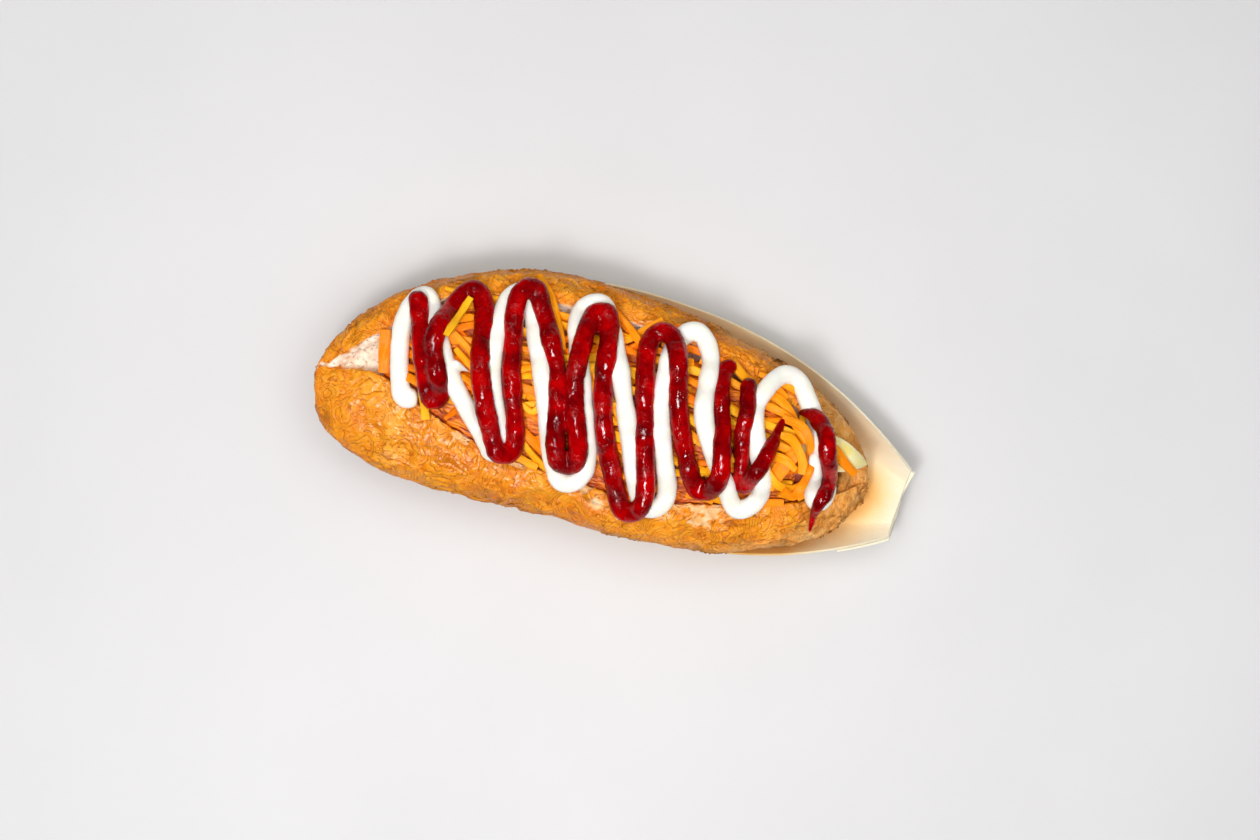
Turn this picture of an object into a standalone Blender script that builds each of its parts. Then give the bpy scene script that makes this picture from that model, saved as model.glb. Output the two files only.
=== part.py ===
"""A hot dog in a thin wooden boat: a slit roll, a sausage, carrot shreds under two sauces, a pickle slice.

The model is in metres with +Z up. X runs along the roll, and the origin is on the table under the boat.
All sizes below are in millimetres, and mm() turns a list of points into metres.
"""

import math
import random

import bmesh
import bpy
import numpy as np
from mathutils import Vector, noise
from mathutils.bvhtree import BVHTree

GAP = 0.45  # clearance that neighbouring pieces keep
WALL_GAP = 2  # the heap's distance from the slit's steep walls
KEPT_FACES = 0.65  # share of the heap's faces that its shape needs
CREASE = math.radians(45)  # sharper edges stay sharp in the shading

# The boat is a sheet of veneer with its sides bent up and its ends folded up.
BOAT_LENGTH = 190
BOAT_WIDTH = 84
BOAT_END_WIDTH = 24.6
BOAT_TAPER = 2.25  # how late the sides turn in towards the ends
BOAT_FLOOR_SHARE = 0.6  # flat part of the floor, as a share of the width
BOAT_FLOOR_FLAT = 60  # the floor stays on the table up to here, either way along the boat
BOAT_FLOOR_CURVE = 1.35
BOAT_SIDE_CURVE = 1.5
BOAT_RIM_MIDDLE = 17
BOAT_RIM_END = 21.5
BOAT_FLOOR_END = 18.5
BOAT_YAW = math.radians(-7.5)
BOAT_CENTRE = (11.6, 1.6)
BOAT_ACROSS = 13  # points across the veneer
BOAT_FOLD_SPACING = 0.8  # below 1, those points gather where the sides bend up
VENEER = 0.9
LAP_START = 0.83  # the folded laps begin at this share of the half length
LAP_EDGE = 0.96
LAP_THICKNESS = 1.0
LAP_SINK = 0.25
TAB = 1.015  # the upper lap of each end sticks out this far

# What lies over the boat stays clear of its rim's slope and of its ends.
RIM_SLOPE = 0.5
RIM_REACH = 6
END_WALL = 12
END_RISE = 1
END_SLOPE = 0.9
BOAT_REACH = 2.6

# The roll's outline: a blunt end at -X, and a rounder, narrower one at +X.
ROLL_LEFT = -108
ROLL_RIGHT = 92.5
ROLL_HALF_WIDTH = 42.9
ROLL_TOP = 43
ROLL_LEFT_RISE = 3  # the top is higher by this towards -X
ROLL_RISE_START = -20
ROLL_RISE_RUN = 70
ROLL_WIDEST = 0.56  # the widest line, as a share of the height
ROLL_LEFT_TIP_HEIGHT = 35
ROLL_RIGHT_TIP_HEIGHT = 21
ROLL_BEND = ((-108, -9.5), (-85, -5), (-60, -0.5), (-25, 1.9), (6, -0.4), (35, -3.2), (92.5, -7))
ROLL_STATIONS = 40
SHOULDER_POINTS = 6
BELLY_POINTS = 12
SLIT_POINTS = 10
LUMP = 19
SMALL_LUMP = 8
LUMP_HEIGHT = 0.9
LUMP_FREE_CORE = 12  # the lumps fade out nearer to the roll's middle line

# The slit along the roll's top: where its two lips run, and its depth.
NEAR_LIP = (
    (-104, -5.5),
    (-85, -4),
    (-65, -13.5),
    (-45, -21),
    (-10, -26.5),
    (12, -29),
    (32, -25.8),
    (62, -19.5),
    (80, -13),
    (91, -6),
)
FAR_LIP = (
    (-104, -3.5),
    (-88, 11),
    (-70, 26),
    (-45, 32.5),
    (0, 32.7),
    (25, 28.5),
    (50, 19.5),
    (75, 9.5),
    (91, 0),
)
NEAR_LIP_LIMIT = 0.7  # the lips stay within these shares of the roll's half width
FAR_LIP_LIMIT = 0.8
SLIT_LEFT = -104
SLIT_RIGHT = 91
SLIT_OPENS_OVER = 34
SLIT_CLOSES_OVER = 22
SLIT_DEPTH = 33
SLIT_VALLEY = 0.27  # the slit's lowest line lies nearer the near lip
SLIT_END_VALLEY = 0.2
SLIT_VALLEY_RUN = 50
CUT_FACE_RIGHT = -87  # left of here the slit is shallow, and its far side shows as a flat cut face
CUT_FACE_DEPTH = 6
CUT_FACE_DROP = 17  # it falls to the slit's full depth over this length
CRUMB_FLOOR = 6  # least bread under the slit

SAUSAGE_RADIUS = 12
SAUSAGE_LEFT = -70
SAUSAGE_RIGHT = 74
SAUSAGE_FROM_NEAR_LIP = 14.5
SAUSAGE_MIDDLE = 2
SAUSAGE_EVEN = 40  # the girth is even up to here, either way from the middle
SAUSAGE_TAPER = 2.5
SAUSAGE_TAPER_RUN = 45
SAUSAGE_ROUNDING = 9
SAUSAGE_BLUNTNESS = 0.16
SAUSAGE_SIDES = 14

# The heap of carrot shreds.
HEAP_LEFT = -86
HEAP_RIGHT = 82
HEAP_ACROSS = 11
HEAP_CROWN = 9.5
HEAP_LIP_DROP = 2.2  # the heap's edge lies below the lips
HEAP_EDGE_RISE = 1.2
HEAP_ARCH = 2.4
HEAP_LEFT_TAPER = 16
HEAP_RIGHT_TAPER = 20
HEAP_END_DROP = 4
HEAP_NEAR_PART = 0.1  # how far down the near wall the heap starts
SAUSAGE_SHOWS = 1  # a gap in the heap shows the sausage here
SAUSAGE_GAP = 0.12
SAUSAGE_GAP_RUN = 8
SHRED = 2.7
SHRED_COUNT = 30
SHRED_SEED = 11
SHRED_LENGTHS = (18, 38)
SHRED_CURL = 0.025  # radians of turn for each millimetre
SHRED_TURN = 42  # degrees off the roll's length, as a spread
SHRED_POINTS = 6
SHRED_SINK = 0.75
SHRED_LOWEST = 0.08  # shreds start between these shares of the way from the near lip to the far one
SHRED_SPREAD = 0.84
GOLDEN_SHARE = 0.618  # spreads those starts evenly
SHREDS_FROM_LEFT = 9  # the middles of the shreds keep this far from the heap's two ends
SHREDS_FROM_RIGHT = 11
OVER_LIP = 4  # shreds reach this far past the lips, and keep these distances from the heap's two ends
CLEAR_OF_LEFT = 3
CLEAR_OF_RIGHT = 5

# The two sauces: beads laid in strokes from side to side.
SAUCE_STEP = 11  # longest stretch between a bead's rings
SAUCE_TURN_STEP = math.radians(32)  # most turn between them
SAUCE_SIDES = 6
SAUCE_SINK = 0.8
SLIMMER = 0.05  # every second stroke is this share slimmer, lower by the next and turned by the last
LOWER = 0.07
TURNED = 0.2
BEAD_END = 0.86  # a stroke's end rings, as a share of its girth
TURN_SHAPE = 1.25  # a turn's depth, in half widths
# Each turn of a sauce line: its place along and across the roll, half its width, and where the next stroke's
# middle lies along the roll. A turn with a negative half width is walked towards -X, one with none is sharp.
KETCHUP_RADIUS = 3.3
KETCHUP_START = (-77.4, 27.2)
KETCHUP_TURNS = (
    (-64.2, -8.4, 2.2, -67.5),
    (-58.3, 32.3, 5, -49.9),
    (-37.2, -22.3, 4, -39.3),
    (-38.2, 36.6, 4.5, -23),
    (-14.8, -21.5, 4.1, -16.8),
    (-12.8, 33.6, 3.6, -5.5),
    (10, -33.2, 5, 9.6),
    (10.6, 31.5, 5.3, 21.1),
    (33.4, -20.9, 4.9, 36.5),
    (38, 23.5, 4.7, 44),
    (48.5, -16.1, 3.1, 53),
)
KETCHUP_END = (57.7, 7.9)
LAST_KETCHUP = (
    (61, 13.2),
    (66.2, 11.8),
    (70.7, 6),
    (73.6, -0.9),
    (77.4, -6.3),
    (77.6, -13.6),
    (75, -20),
    (74.6, -26),
)
MAYONNAISE_RADIUS = 3
MAYONNAISE_START = (-69.6, -8.4)
MAYONNAISE_TURNS = (
    (-75.5, -9.2, 0, -79.8),
    (-74.6, 26.4, 4.6, -60.6),
    (-40.8, -22.4, 2.8, -46.2),
    (-41.8, 34.6, 4.7, -27.1),
    (-13.3, -27.8, 6.2, -13.6),
    (-14.6, 36.7, 6, 1.8),
    (17, -30.5, 5.4, 14.7),
    (20.8, 34.2, 6.9, 29.3),
    (47.9, -24.2, 6.7, 49.3),
    (55.5, 25.6, 7, 73.5),
    (75.5, -15.2, -3.2, 70),
)
MAYONNAISE_END = (69.1, 0)

# The pickle slice pokes out of the slit's narrow end, and its tip hangs down a little.
PICKLE_LENGTH = 31
PICKLE_WIDTH = 13
PICKLE_THICKNESS = 2.4
PICKLE_RIM = 0.3  # the thin edge, as a share of the thickness
PICKLE_TIP = (90.4, 0.8)
PICKLE_HEADING = math.radians(-4)
PICKLE_FALL = 10.5
PICKLE_POINTED = 1.8
PICKLE_RINGS = 13
# Places across the slice, how far each sinks below its middle line, and its thickness, in thicknesses.
PICKLE_PROFILE = ((-1, 0.35, PICKLE_RIM), (-0.6, 0.1, 1), (0, 0, 1), (0.6, 0.1, 1), (1, 0.35, PICKLE_RIM))


def mm(points):
    return np.asarray(points, float) * 0.001


def clear_scene():
    for obj in list(bpy.data.objects):
        bpy.data.objects.remove(obj, do_unlink=True)


def smooth_curve(table):
    """A function that runs smoothly through (position, value) pairs."""
    at, value = (np.array(column, float) for column in zip(*table))
    slope = np.gradient(value, at)

    def curve(x):
        x = min(max(x, at[0]), at[-1])
        i = min(max(int(np.searchsorted(at, x)) - 1, 0), len(at) - 2)
        span = at[i + 1] - at[i]
        t = (x - at[i]) / span
        return (
            value[i] * (1 + 2 * t) * (1 - t) ** 2
            + slope[i] * span * t * (1 - t) ** 2
            + value[i + 1] * t * t * (3 - 2 * t)
            + slope[i + 1] * span * t * t * (t - 1)
        )

    return curve


roll_bend = smooth_curve(ROLL_BEND)
near_lip = smooth_curve(NEAR_LIP)
far_lip = smooth_curve(FAR_LIP)


def ease(t):
    """From 0 to 1 with no corner at either end."""
    t = min(max(t, 0.0), 1.0)
    return t * t * (3 - 2 * t)


def around(x, y, reach):
    """Eight places at one distance round a place."""
    turns = [math.pi / 4 * i for i in range(8)]
    return [(x + reach * math.cos(t), y + reach * math.sin(t)) for t in turns]


# ---------------------------------------------------------------- the boat's surface


def boat_half_width(along):
    end, middle = BOAT_END_WIDTH / 2, BOAT_WIDTH / 2
    return end + (middle - end) * (1 - min(abs(along) / (BOAT_LENGTH / 2), 1) ** BOAT_TAPER)


def boat_floor_height(along):
    past = max(0, abs(along) - BOAT_FLOOR_FLAT) / (BOAT_LENGTH / 2 - BOAT_FLOOR_FLAT)
    return VENEER + (BOAT_FLOOR_END - VENEER) * past**BOAT_FLOOR_CURVE


def boat_rim_height(along):
    return BOAT_RIM_MIDDLE + (BOAT_RIM_END - BOAT_RIM_MIDDLE) * (along / (BOAT_LENGTH / 2)) ** 2


def boat_inside_height(along, across):
    """Height of the boat's inner face over a point of its own plan."""
    half = boat_half_width(along)
    flat = half * BOAT_FLOOR_SHARE
    rise = min(max((abs(across) - flat) / (half - flat), 0), 1)
    floor, rim = boat_floor_height(along), boat_rim_height(along)
    return floor + (rim - floor) * rise**BOAT_SIDE_CURVE


def boat_to_row(along, across):
    c, s = math.cos(BOAT_YAW), math.sin(BOAT_YAW)
    return BOAT_CENTRE[0] + along * c - across * s, BOAT_CENTRE[1] + along * s + across * c


def row_to_boat(x, y):
    c, s = math.cos(BOAT_YAW), math.sin(BOAT_YAW)
    dx, dy = x - BOAT_CENTRE[0], y - BOAT_CENTRE[1]
    return dx * c + dy * s, dy * c - dx * s


def boat_top(x, y):
    """Height of the boat at a place, carried on outwards past its rim and downwards past its ends."""
    along, across = row_to_boat(x, y)
    half_length = BOAT_LENGTH / 2
    inside = min(max(along, -half_length), half_length)
    beyond = max(0, abs(across) - boat_half_width(inside))
    side = boat_inside_height(inside, across) + RIM_SLOPE * min(beyond, RIM_REACH)
    end = (BOAT_RIM_END + END_RISE) * ease((abs(along) - half_length + END_WALL) / END_WALL)
    return max(side, end) - END_SLOPE * max(0, abs(along) - half_length)


def boat_clearance(x, y):
    """Least height of anything that lies in the boat or hangs over its rim."""
    return max(boat_top(*spot) for spot in around(x, y, BOAT_REACH)) + 2 * GAP


# ---------------------------------------------------------------- the roll's surface


def roll_fullness(x, left_power=2.75, right_power=2.0):
    """1 at the roll's middle and 0 at its tips. A higher power makes a blunter end."""
    middle, half = (ROLL_LEFT + ROLL_RIGHT) / 2, (ROLL_RIGHT - ROLL_LEFT) / 2
    share = min(abs(x - middle) / half, 1)
    return math.sqrt(max(0, 1 - share ** (left_power if x < middle else right_power)))


def roll_tip_height(x):
    return ROLL_LEFT_TIP_HEIGHT if x < (ROLL_LEFT + ROLL_RIGHT) / 2 else ROLL_RIGHT_TIP_HEIGHT


def roll_top(x):
    tip = roll_tip_height(x)
    crown = ROLL_TOP + ROLL_LEFT_RISE * ease((ROLL_RISE_START - x) / ROLL_RISE_RUN)
    return tip + (crown - tip) * roll_fullness(x, 4.5, 3.2)


def roll_bottom(x):
    tip = roll_tip_height(x)
    return tip - (tip - VENEER - 2 * GAP) * roll_fullness(x, 2.6, 2.4)


def slit_lips(x):
    """Where the near and far lips run across the roll, kept inside its outline."""
    half, bend = ROLL_HALF_WIDTH * roll_fullness(x), roll_bend(x)
    return max(near_lip(x), bend - NEAR_LIP_LIMIT * half), min(far_lip(x), bend + FAR_LIP_LIMIT * half)


def slit_openness(x):
    opens = ease((x - SLIT_LEFT) / SLIT_OPENS_OVER) ** 0.75
    closes = ease((SLIT_RIGHT - x) / SLIT_CLOSES_OVER) ** 0.8
    return opens * closes


def slit_bias(x):
    """The power that spaces points over the slit, so that its lowest line lies where the valley is."""
    valley = SLIT_END_VALLEY + (SLIT_VALLEY - SLIT_END_VALLEY) * ease((x - SLIT_LEFT) / SLIT_VALLEY_RUN)
    return math.log(valley) / math.log(0.5)


def slit_point(x, part):
    """A point of the slit's wall: the near lip at part 0, the valley halfway and the far lip at part 1."""
    near, far = slit_lips(x)
    bias = slit_bias(x)
    underside = max(roll_bottom(x), boat_clearance(x, near + 0.5**bias * (far - near)))
    cut_face = CUT_FACE_DEPTH + SLIT_DEPTH * ease((x - CUT_FACE_RIGHT) / CUT_FACE_DROP)
    depth = min(SLIT_DEPTH * slit_openness(x), cut_face)
    deepest = max(roll_top(x) - depth, underside + CRUMB_FLOOR)
    drop = (roll_top(x) - deepest) * (1 - (2 * part - 1) ** 2)
    return near + (far - near) * part**bias, roll_top(x) - drop


def slit_height(x, y):
    near, far = slit_lips(x)
    share = min(max((y - near) / (far - near), 0), 1)
    return slit_point(x, share ** (1 / slit_bias(x)))[1]


def uneven(x, y, z):
    """The roll's broad lumps."""
    spot = Vector((x, y, z))
    return noise.noise(spot / LUMP) + 0.5 * noise.noise(spot / SMALL_LUMP + Vector((5, 0, 0)))


def shoulder_point(lip, edge, widest, top, turn):
    """A point between a lip on top, at turn 0, and the roll's widest line, at a right angle."""
    return lip + (edge - lip) * math.sin(turn) ** 0.9, widest + (top - widest) * math.cos(turn) ** 0.8


def roll_ring(x):
    """The roll's outline across its length at x: far shoulder, belly, near shoulder, the slit's walls."""
    half, bend = ROLL_HALF_WIDTH * roll_fullness(x), roll_bend(x)
    top, bottom = roll_top(x), roll_bottom(x)
    near, far = slit_lips(x)
    widest = bottom + ROLL_WIDEST * (top - bottom)
    turns = [math.pi / 2 * i / SHOULDER_POINTS for i in range(SHOULDER_POINTS)]
    ring = [shoulder_point(far, bend + half, widest, top, turn) for turn in turns]
    for i in range(BELLY_POINTS + 1):
        turn = math.pi * i / BELLY_POINTS
        across, down = math.cos(turn), math.sin(turn)
        y = bend + half * math.copysign(abs(across) ** 0.85, across)
        ring.append((y, widest - (widest - bottom) * down**0.8))
    ring += [shoulder_point(near, bend - half, widest, top, turn) for turn in reversed(turns)]
    outside = len(ring)
    ring += [slit_point(x, i / SLIT_POINTS) for i in range(1, SLIT_POINTS)]
    centre = np.array((bend, (top + bottom) / 2))
    moved = []
    for i, (y, z) in enumerate(ring):
        if i < outside:
            out = np.array((y, z)) - centre
            length = max(np.linalg.norm(out), 1e-6)
            push = LUMP_HEIGHT * uneven(x, y, z) * min(length / LUMP_FREE_CORE, 1)
            y, z = np.array((y, z)) + out / length * push
            z = max(z, boat_clearance(x, y))
        moved.append((x, y, z))
    return moved


def roll_stations(count):
    """Places along the roll, closer together towards its tips."""
    middle, half = (ROLL_LEFT + ROLL_RIGHT) / 2, (ROLL_RIGHT - ROLL_LEFT) / 2
    turns = np.linspace(-math.pi / 2, math.pi / 2, count + 2)[1:-1]
    return middle + half * np.sin(turns)


# ---------------------------------------------------------------- meshes


def add_mesh(name, points, faces):
    mesh = bpy.data.meshes.new(name)
    mesh.from_pydata([tuple(p) for p in mm(points)], [], faces)
    mesh.validate()
    obj = bpy.data.objects.new(name, mesh)
    bpy.context.scene.collection.objects.link(obj)
    mesh.shade_smooth()
    mesh.set_sharp_from_angle(angle=CREASE)
    return obj


def loft(name, rings, start_tip=None, end_tip=None):
    """A closed body through rings of points, ended by tips or by flat caps."""
    count = len(rings[0])
    points = [p for ring in rings for p in ring]
    faces = []
    for i in range(len(rings) - 1):
        for j in range(count):
            k = (j + 1) % count
            faces.append((i * count + j, i * count + k, (i + 1) * count + k, (i + 1) * count + j))
    for tip, first, flip in ((start_tip, 0, True), (end_tip, (len(rings) - 1) * count, False)):
        loop = list(range(first, first + count))
        if tip is None:
            faces.append(tuple(loop[::-1] if flip else loop))
            continue
        points.append(tip)
        for j in range(count):
            a, b = loop[j], loop[(j + 1) % count]
            faces.append((b, a, len(points) - 1) if flip else (a, b, len(points) - 1))
    return turn_out(add_mesh(name, points, faces))


def turn_out(obj):
    """Faces the mesh outwards."""
    shape = bmesh.new()
    shape.from_mesh(obj.data)
    bmesh.ops.recalc_face_normals(shape, faces=shape.faces)
    if shape.calc_volume(signed=True) < 0:
        bmesh.ops.reverse_faces(shape, faces=shape.faces)
    shape.to_mesh(obj.data)
    shape.free()
    return obj


def spline(points, samples=12):
    """Points on a smooth line through the given ones, a step apart where straight, closer in its turns."""
    points = np.asarray(points, float)
    ends = np.vstack([2 * points[0] - points[1], points, 2 * points[-1] - points[-2]])
    line = []
    for i in range(1, len(ends) - 2):
        a, b, c, d = ends[i - 1 : i + 3]
        for t in np.linspace(0, 1, samples, endpoint=False):
            bend = (2 * a - 5 * b + 4 * c - d) * t * t + (3 * b - a - 3 * c + d) * t**3
            line.append(0.5 * (2 * b + (c - a) * t + bend))
    line.append(points[-1])
    line = np.array(line)
    ahead = np.diff(line, axis=0)
    heading = np.unwrap(np.arctan2(ahead[:, 1], ahead[:, 0]))
    turned = np.abs(np.diff(heading, prepend=heading[0]))
    steps = np.linalg.norm(ahead, axis=1) / SAUCE_STEP + turned / SAUCE_TURN_STEP
    measure = np.concatenate([[0], np.cumsum(steps)])
    places = np.linspace(0, measure[-1], max(2, round(measure[-1]) + 1))
    return np.column_stack([np.interp(places, measure, column) for column in line.T])


def tube(name, line, radii, sides, turn=0.0):
    """A bead along a line, with a ring of sides points round each of its points."""
    line = np.asarray(line, float)
    ahead = np.gradient(line, axis=0)
    ahead /= np.linalg.norm(ahead, axis=1)[:, None]
    rings = []
    for point, way, radius in zip(line, ahead, radii):
        side = np.cross((0, 0, 1), way)
        side /= max(np.linalg.norm(side), 1e-6)
        up = np.cross(way, side)
        turns = turn + 2 * math.pi * np.arange(sides) / sides
        rings.append([point + radius * (math.cos(t) * side + math.sin(t) * up) for t in turns])
    return loft(name, rings)


# ---------------------------------------------------------------- the boat


def boat_inner_point(along, share):
    """A point of the veneer's inner face, share of the way from the middle line to a rim."""
    across = boat_half_width(along) * math.copysign(abs(share) ** BOAT_FOLD_SPACING, share)
    return np.array((*boat_to_row(along, across), boat_inside_height(along, across)))


def boat_point(along, share, depth, step=0.01):
    """A point of the veneer at a depth below its inner face, square to it."""
    lengthwise = boat_inner_point(along + step, share) - boat_inner_point(along - step, share)
    crosswise = boat_inner_point(along, share + step) - boat_inner_point(along, share - step)
    out = np.cross(lengthwise, crosswise)
    return boat_inner_point(along, share) - depth * out / np.linalg.norm(out)


def veneer_patch(name, alongs, shares, top, bottom):
    """A stretch of veneer between two depths: shares gives each station's row of places across."""
    rings = []
    for along, row in zip(alongs, shares):
        inner = [boat_point(along, share, top) for share in row]
        outer = [boat_point(along, share, bottom) for share in row]
        rings.append(inner + outer[::-1])
    return loft(name, rings)


def make_boat():
    """The sheet, its stations closer together towards the ends, with two laps folded under at each end."""
    half_length = BOAT_LENGTH / 2
    runs = np.concatenate([np.linspace(-1, -0.62, 7), np.linspace(-0.42, 0.42, 6), np.linspace(0.62, 1, 7)])
    across = np.linspace(-1, 1, BOAT_ACROSS)
    boat = veneer_patch("boat", runs * half_length * 0.999, [across] * len(runs), 0, VENEER)
    laps = bpy.data.collections.new("laps")
    for end in (-1, 1):
        for side, depth in ((1, VENEER), (-1, 2 * VENEER)):
            lap_runs = np.linspace(LAP_START, 1.0 if side * end < 0 else TAB, 5)
            rows = [side * np.linspace(LAP_EDGE, -0.1 - 1.9 * (0.98 - run), 6) for run in lap_runs]
            top = depth - LAP_SINK
            lap = veneer_patch("lap", end * lap_runs * half_length, rows, top, top + LAP_THICKNESS)
            move_to(lap, laps)
    return fuse(boat, laps)


# ---------------------------------------------------------------- fusing


def move_to(obj, collection):
    for holder in obj.users_collection:
        holder.objects.unlink(obj)
    collection.objects.link(obj)


def fuse(obj, collection, kept_faces=1.0):
    """Joins the collection's bodies to obj, and keeps only the outer skin of the largest body."""
    join = obj.modifiers.new("join", "BOOLEAN")
    join.operation = "UNION"
    join.operand_type = "COLLECTION"
    join.collection = collection
    join.solver = "MANIFOLD"
    if kept_faces < 1:
        thin_out = obj.modifiers.new("thin_out", "DECIMATE")
        thin_out.ratio = kept_faces
    graph = bpy.context.evaluated_depsgraph_get()
    joined = bpy.data.meshes.new_from_object(obj.evaluated_get(graph))
    obj.modifiers.clear()
    obj.data = joined
    for piece in list(collection.objects):
        bpy.data.objects.remove(piece, do_unlink=True)
    bpy.data.collections.remove(collection)
    shape = bmesh.new()
    shape.from_mesh(joined)
    bmesh.ops.triangulate(shape, faces=shape.faces)
    keep_largest(shape)
    shape.to_mesh(joined)
    shape.free()
    joined.name = obj.name
    return obj


def keep_largest(shape):
    """Removes every body but the one with the most faces. Bodies that only touch along an edge are apart."""
    left = set(shape.faces)
    islands = []
    while left:
        island, front = [], [left.pop()]
        while front:
            face = front.pop()
            island.append(face)
            for edge in face.edges:
                if len(edge.link_faces) > 2:
                    continue
                for other in edge.link_faces:
                    if other in left:
                        left.discard(other)
                        front.append(other)
        islands.append(island)
    islands.sort(key=len)
    loose = [face for island in islands[:-1] for face in island]
    bmesh.ops.delete(shape, geom=loose, context="FACES")


def surface_top(obj):
    """A function for the object's highest point within reach of a place, or None beside it."""
    points = [tuple(v.co) for v in obj.data.vertices]
    tree = BVHTree.FromPolygons(points, [tuple(p.vertices) for p in obj.data.polygons])
    above, down = 200, Vector((0, 0, -1))

    def top(x, y, reach=0):
        found = []
        spots = [(x, y)]
        if reach:
            spots += around(x, y, reach)
        for spot in spots:
            hit = tree.ray_cast(Vector(mm((*spot, above))), down)[0]
            if hit is not None:
                found.append(hit.z * 1000)
        return max(found) if found else None

    return top


# ---------------------------------------------------------------- the roll and the sausage


def make_roll():
    stations = roll_stations(ROLL_STATIONS)
    tips = [(x, roll_bend(x), roll_tip_height(x)) for x in (ROLL_LEFT, ROLL_RIGHT)]
    return loft("roll", [roll_ring(x) for x in stations], *tips)


def sausage_girth(x):
    past = (abs(x - SAUSAGE_MIDDLE) - SAUSAGE_EVEN) / SAUSAGE_TAPER_RUN
    return SAUSAGE_RADIUS - SAUSAGE_TAPER * ease(past)


def sausage_radius(x):
    """The sausage's girth, rounded off at both ends."""
    from_tip = min(x - SAUSAGE_LEFT, SAUSAGE_RIGHT - x)
    rounded = 1 - max(0, 1 - from_tip / SAUSAGE_ROUNDING) ** 2
    return sausage_girth(x) * math.sqrt(max(SAUSAGE_BLUNTNESS, rounded))


def make_sausage():
    """It lies near the near lip, as low in the slit as the slit's walls let it."""
    body = np.linspace(SAUSAGE_LEFT + 3, SAUSAGE_RIGHT - 3, 19)
    places = [SAUSAGE_LEFT, SAUSAGE_LEFT + 1, *body, SAUSAGE_RIGHT - 1, SAUSAGE_RIGHT]
    across, heights = [], []
    for x in places:
        near, far = slit_lips(x)
        middle = near + min(SAUSAGE_FROM_NEAR_LIP, 0.5 * (far - near))
        clear = sausage_girth(x) + 3 * GAP
        sides = np.linspace(-clear, clear, 17)
        lifts = [slit_height(x, middle + side) + math.sqrt(max(clear**2 - side**2, 0)) for side in sides]
        across.append(middle)
        heights.append(max(lifts))
    line = np.column_stack([places, across, bridged(np.array(heights))])
    return tube("sausage", line, [sausage_radius(x) for x in places], SAUSAGE_SIDES)


# ---------------------------------------------------------------- the heap and its sauces


def heap_near_part(x):
    """How far down the near wall the heap starts at x."""
    return HEAP_NEAR_PART + SAUSAGE_GAP * math.exp(-(((x - SAUSAGE_SHOWS) / SAUSAGE_GAP_RUN) ** 2))


def heap_top(x, y):
    """Height of the heap's body between the lips."""
    near, far = slit_lips(x)
    taper = ease((x - HEAP_LEFT) / HEAP_LEFT_TAPER) * ease((HEAP_RIGHT - x) / HEAP_RIGHT_TAPER)
    arch = 1 - abs(2 * (y - near) / (far - near) - 1) ** HEAP_ARCH
    crown = (HEAP_CROWN * taper + HEAP_EDGE_RISE) * arch
    return roll_top(x) - HEAP_LIP_DROP + crown - HEAP_END_DROP * (1 - taper)


def make_heap_body(sausage_top, pickle_top):
    """The heap's body: its top arches between the lips, and its underside follows what lies below."""
    below = ((sausage_top, 2.5), (pickle_top, 5))  # each with the reach it is felt over

    def floor(x, y):
        heights = [slit_height(x, y), *(top(x, y, reach) for top, reach in below)]
        return max(height for height in heights if height is not None) + 2 * GAP

    rings = []
    for x in roll_stations(ROLL_STATIONS):
        if not HEAP_LEFT < x < HEAP_RIGHT:
            continue
        parts = np.linspace(heap_near_part(x), 1 - 1 / SLIT_POINTS, HEAP_ACROSS)
        across = np.array([slit_point(x, part)[0] for part in parts])
        across += WALL_GAP * np.linspace(1, -1, HEAP_ACROSS)
        halfway = [floor(x, (a + b) / 2) for a, b in zip(across, across[1:])]
        top, bottom = [], []
        for i, y in enumerate(across):
            low = max([floor(x, y), *halfway[max(i - 1, 0) : i + 1]])
            top.append((x, y, max(heap_top(x, y), low + 1)))
            bottom.append((x, y, low))
        rings.append(top + bottom[::-1])
    return loft("carrots_with_sauces", rings)


def laid(plan, half, sink, heap_top_at, clear_of, between=4):
    """A plan line lifted onto the heap, sunk a little, but clear of its neighbours. It bridges dips."""
    count = len(plan)
    run = np.linspace(0, count - 1, between * (count - 1) + 1)
    heights = []
    for x, y in np.column_stack([np.interp(run, range(count), column) for column in plan.T]):
        tops = [top(x, y, half + 1) for top in clear_of]
        height = max([t + half + 2 * GAP for t in tops if t is not None], default=0)
        on_heap = heap_top_at(x, y)
        heights.append(height if on_heap is None else max(height, on_heap + half - sink))
    nearby = between - 1
    highest = [max(heights[max(between * i - nearby, 0) : between * i + nearby + 1]) for i in range(count)]
    return np.column_stack([plan, bridged(np.array(highest))])


def bridged(heights):
    """Heights smoothed upwards only."""
    for _ in range(2):
        beside = np.convolve(np.pad(heights, 1, mode="edge"), (0.25, 0.5, 0.25), "valid")
        heights = np.maximum(heights, beside)
    return heights


def raised_over(line, other, reach, squeeze=0.8):
    """The line lifted where it crosses another bead, as one soft bead lies on the other."""
    lifted = line.copy()
    for i, (x, y, z) in enumerate(line):
        apart = np.hypot(other[:, 0] - x, other[:, 1] - y)
        near = apart < reach
        if near.any():
            over = other[near, 2] + squeeze * np.sqrt(reach**2 - apart[near] ** 2)
            lifted[i, 2] = max(z, over.max())
    lifted[:, 2] = bridged(lifted[:, 2])
    return lifted


def zigzag(start, turns, end):
    """The plan points of a line that swings from side to side."""
    points = [start]
    for i, (x, y, half, middle) in enumerate(turns):
        inward = -TURN_SHAPE * abs(half) * math.copysign(1, y)
        points += [(x - half, y + inward), (x, y), (x + half, y + inward)] if half else [(x, y)]
        if i + 1 < len(turns):
            points.append((middle, (y + turns[i + 1][1]) / 2))
    return points + [end]


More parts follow.
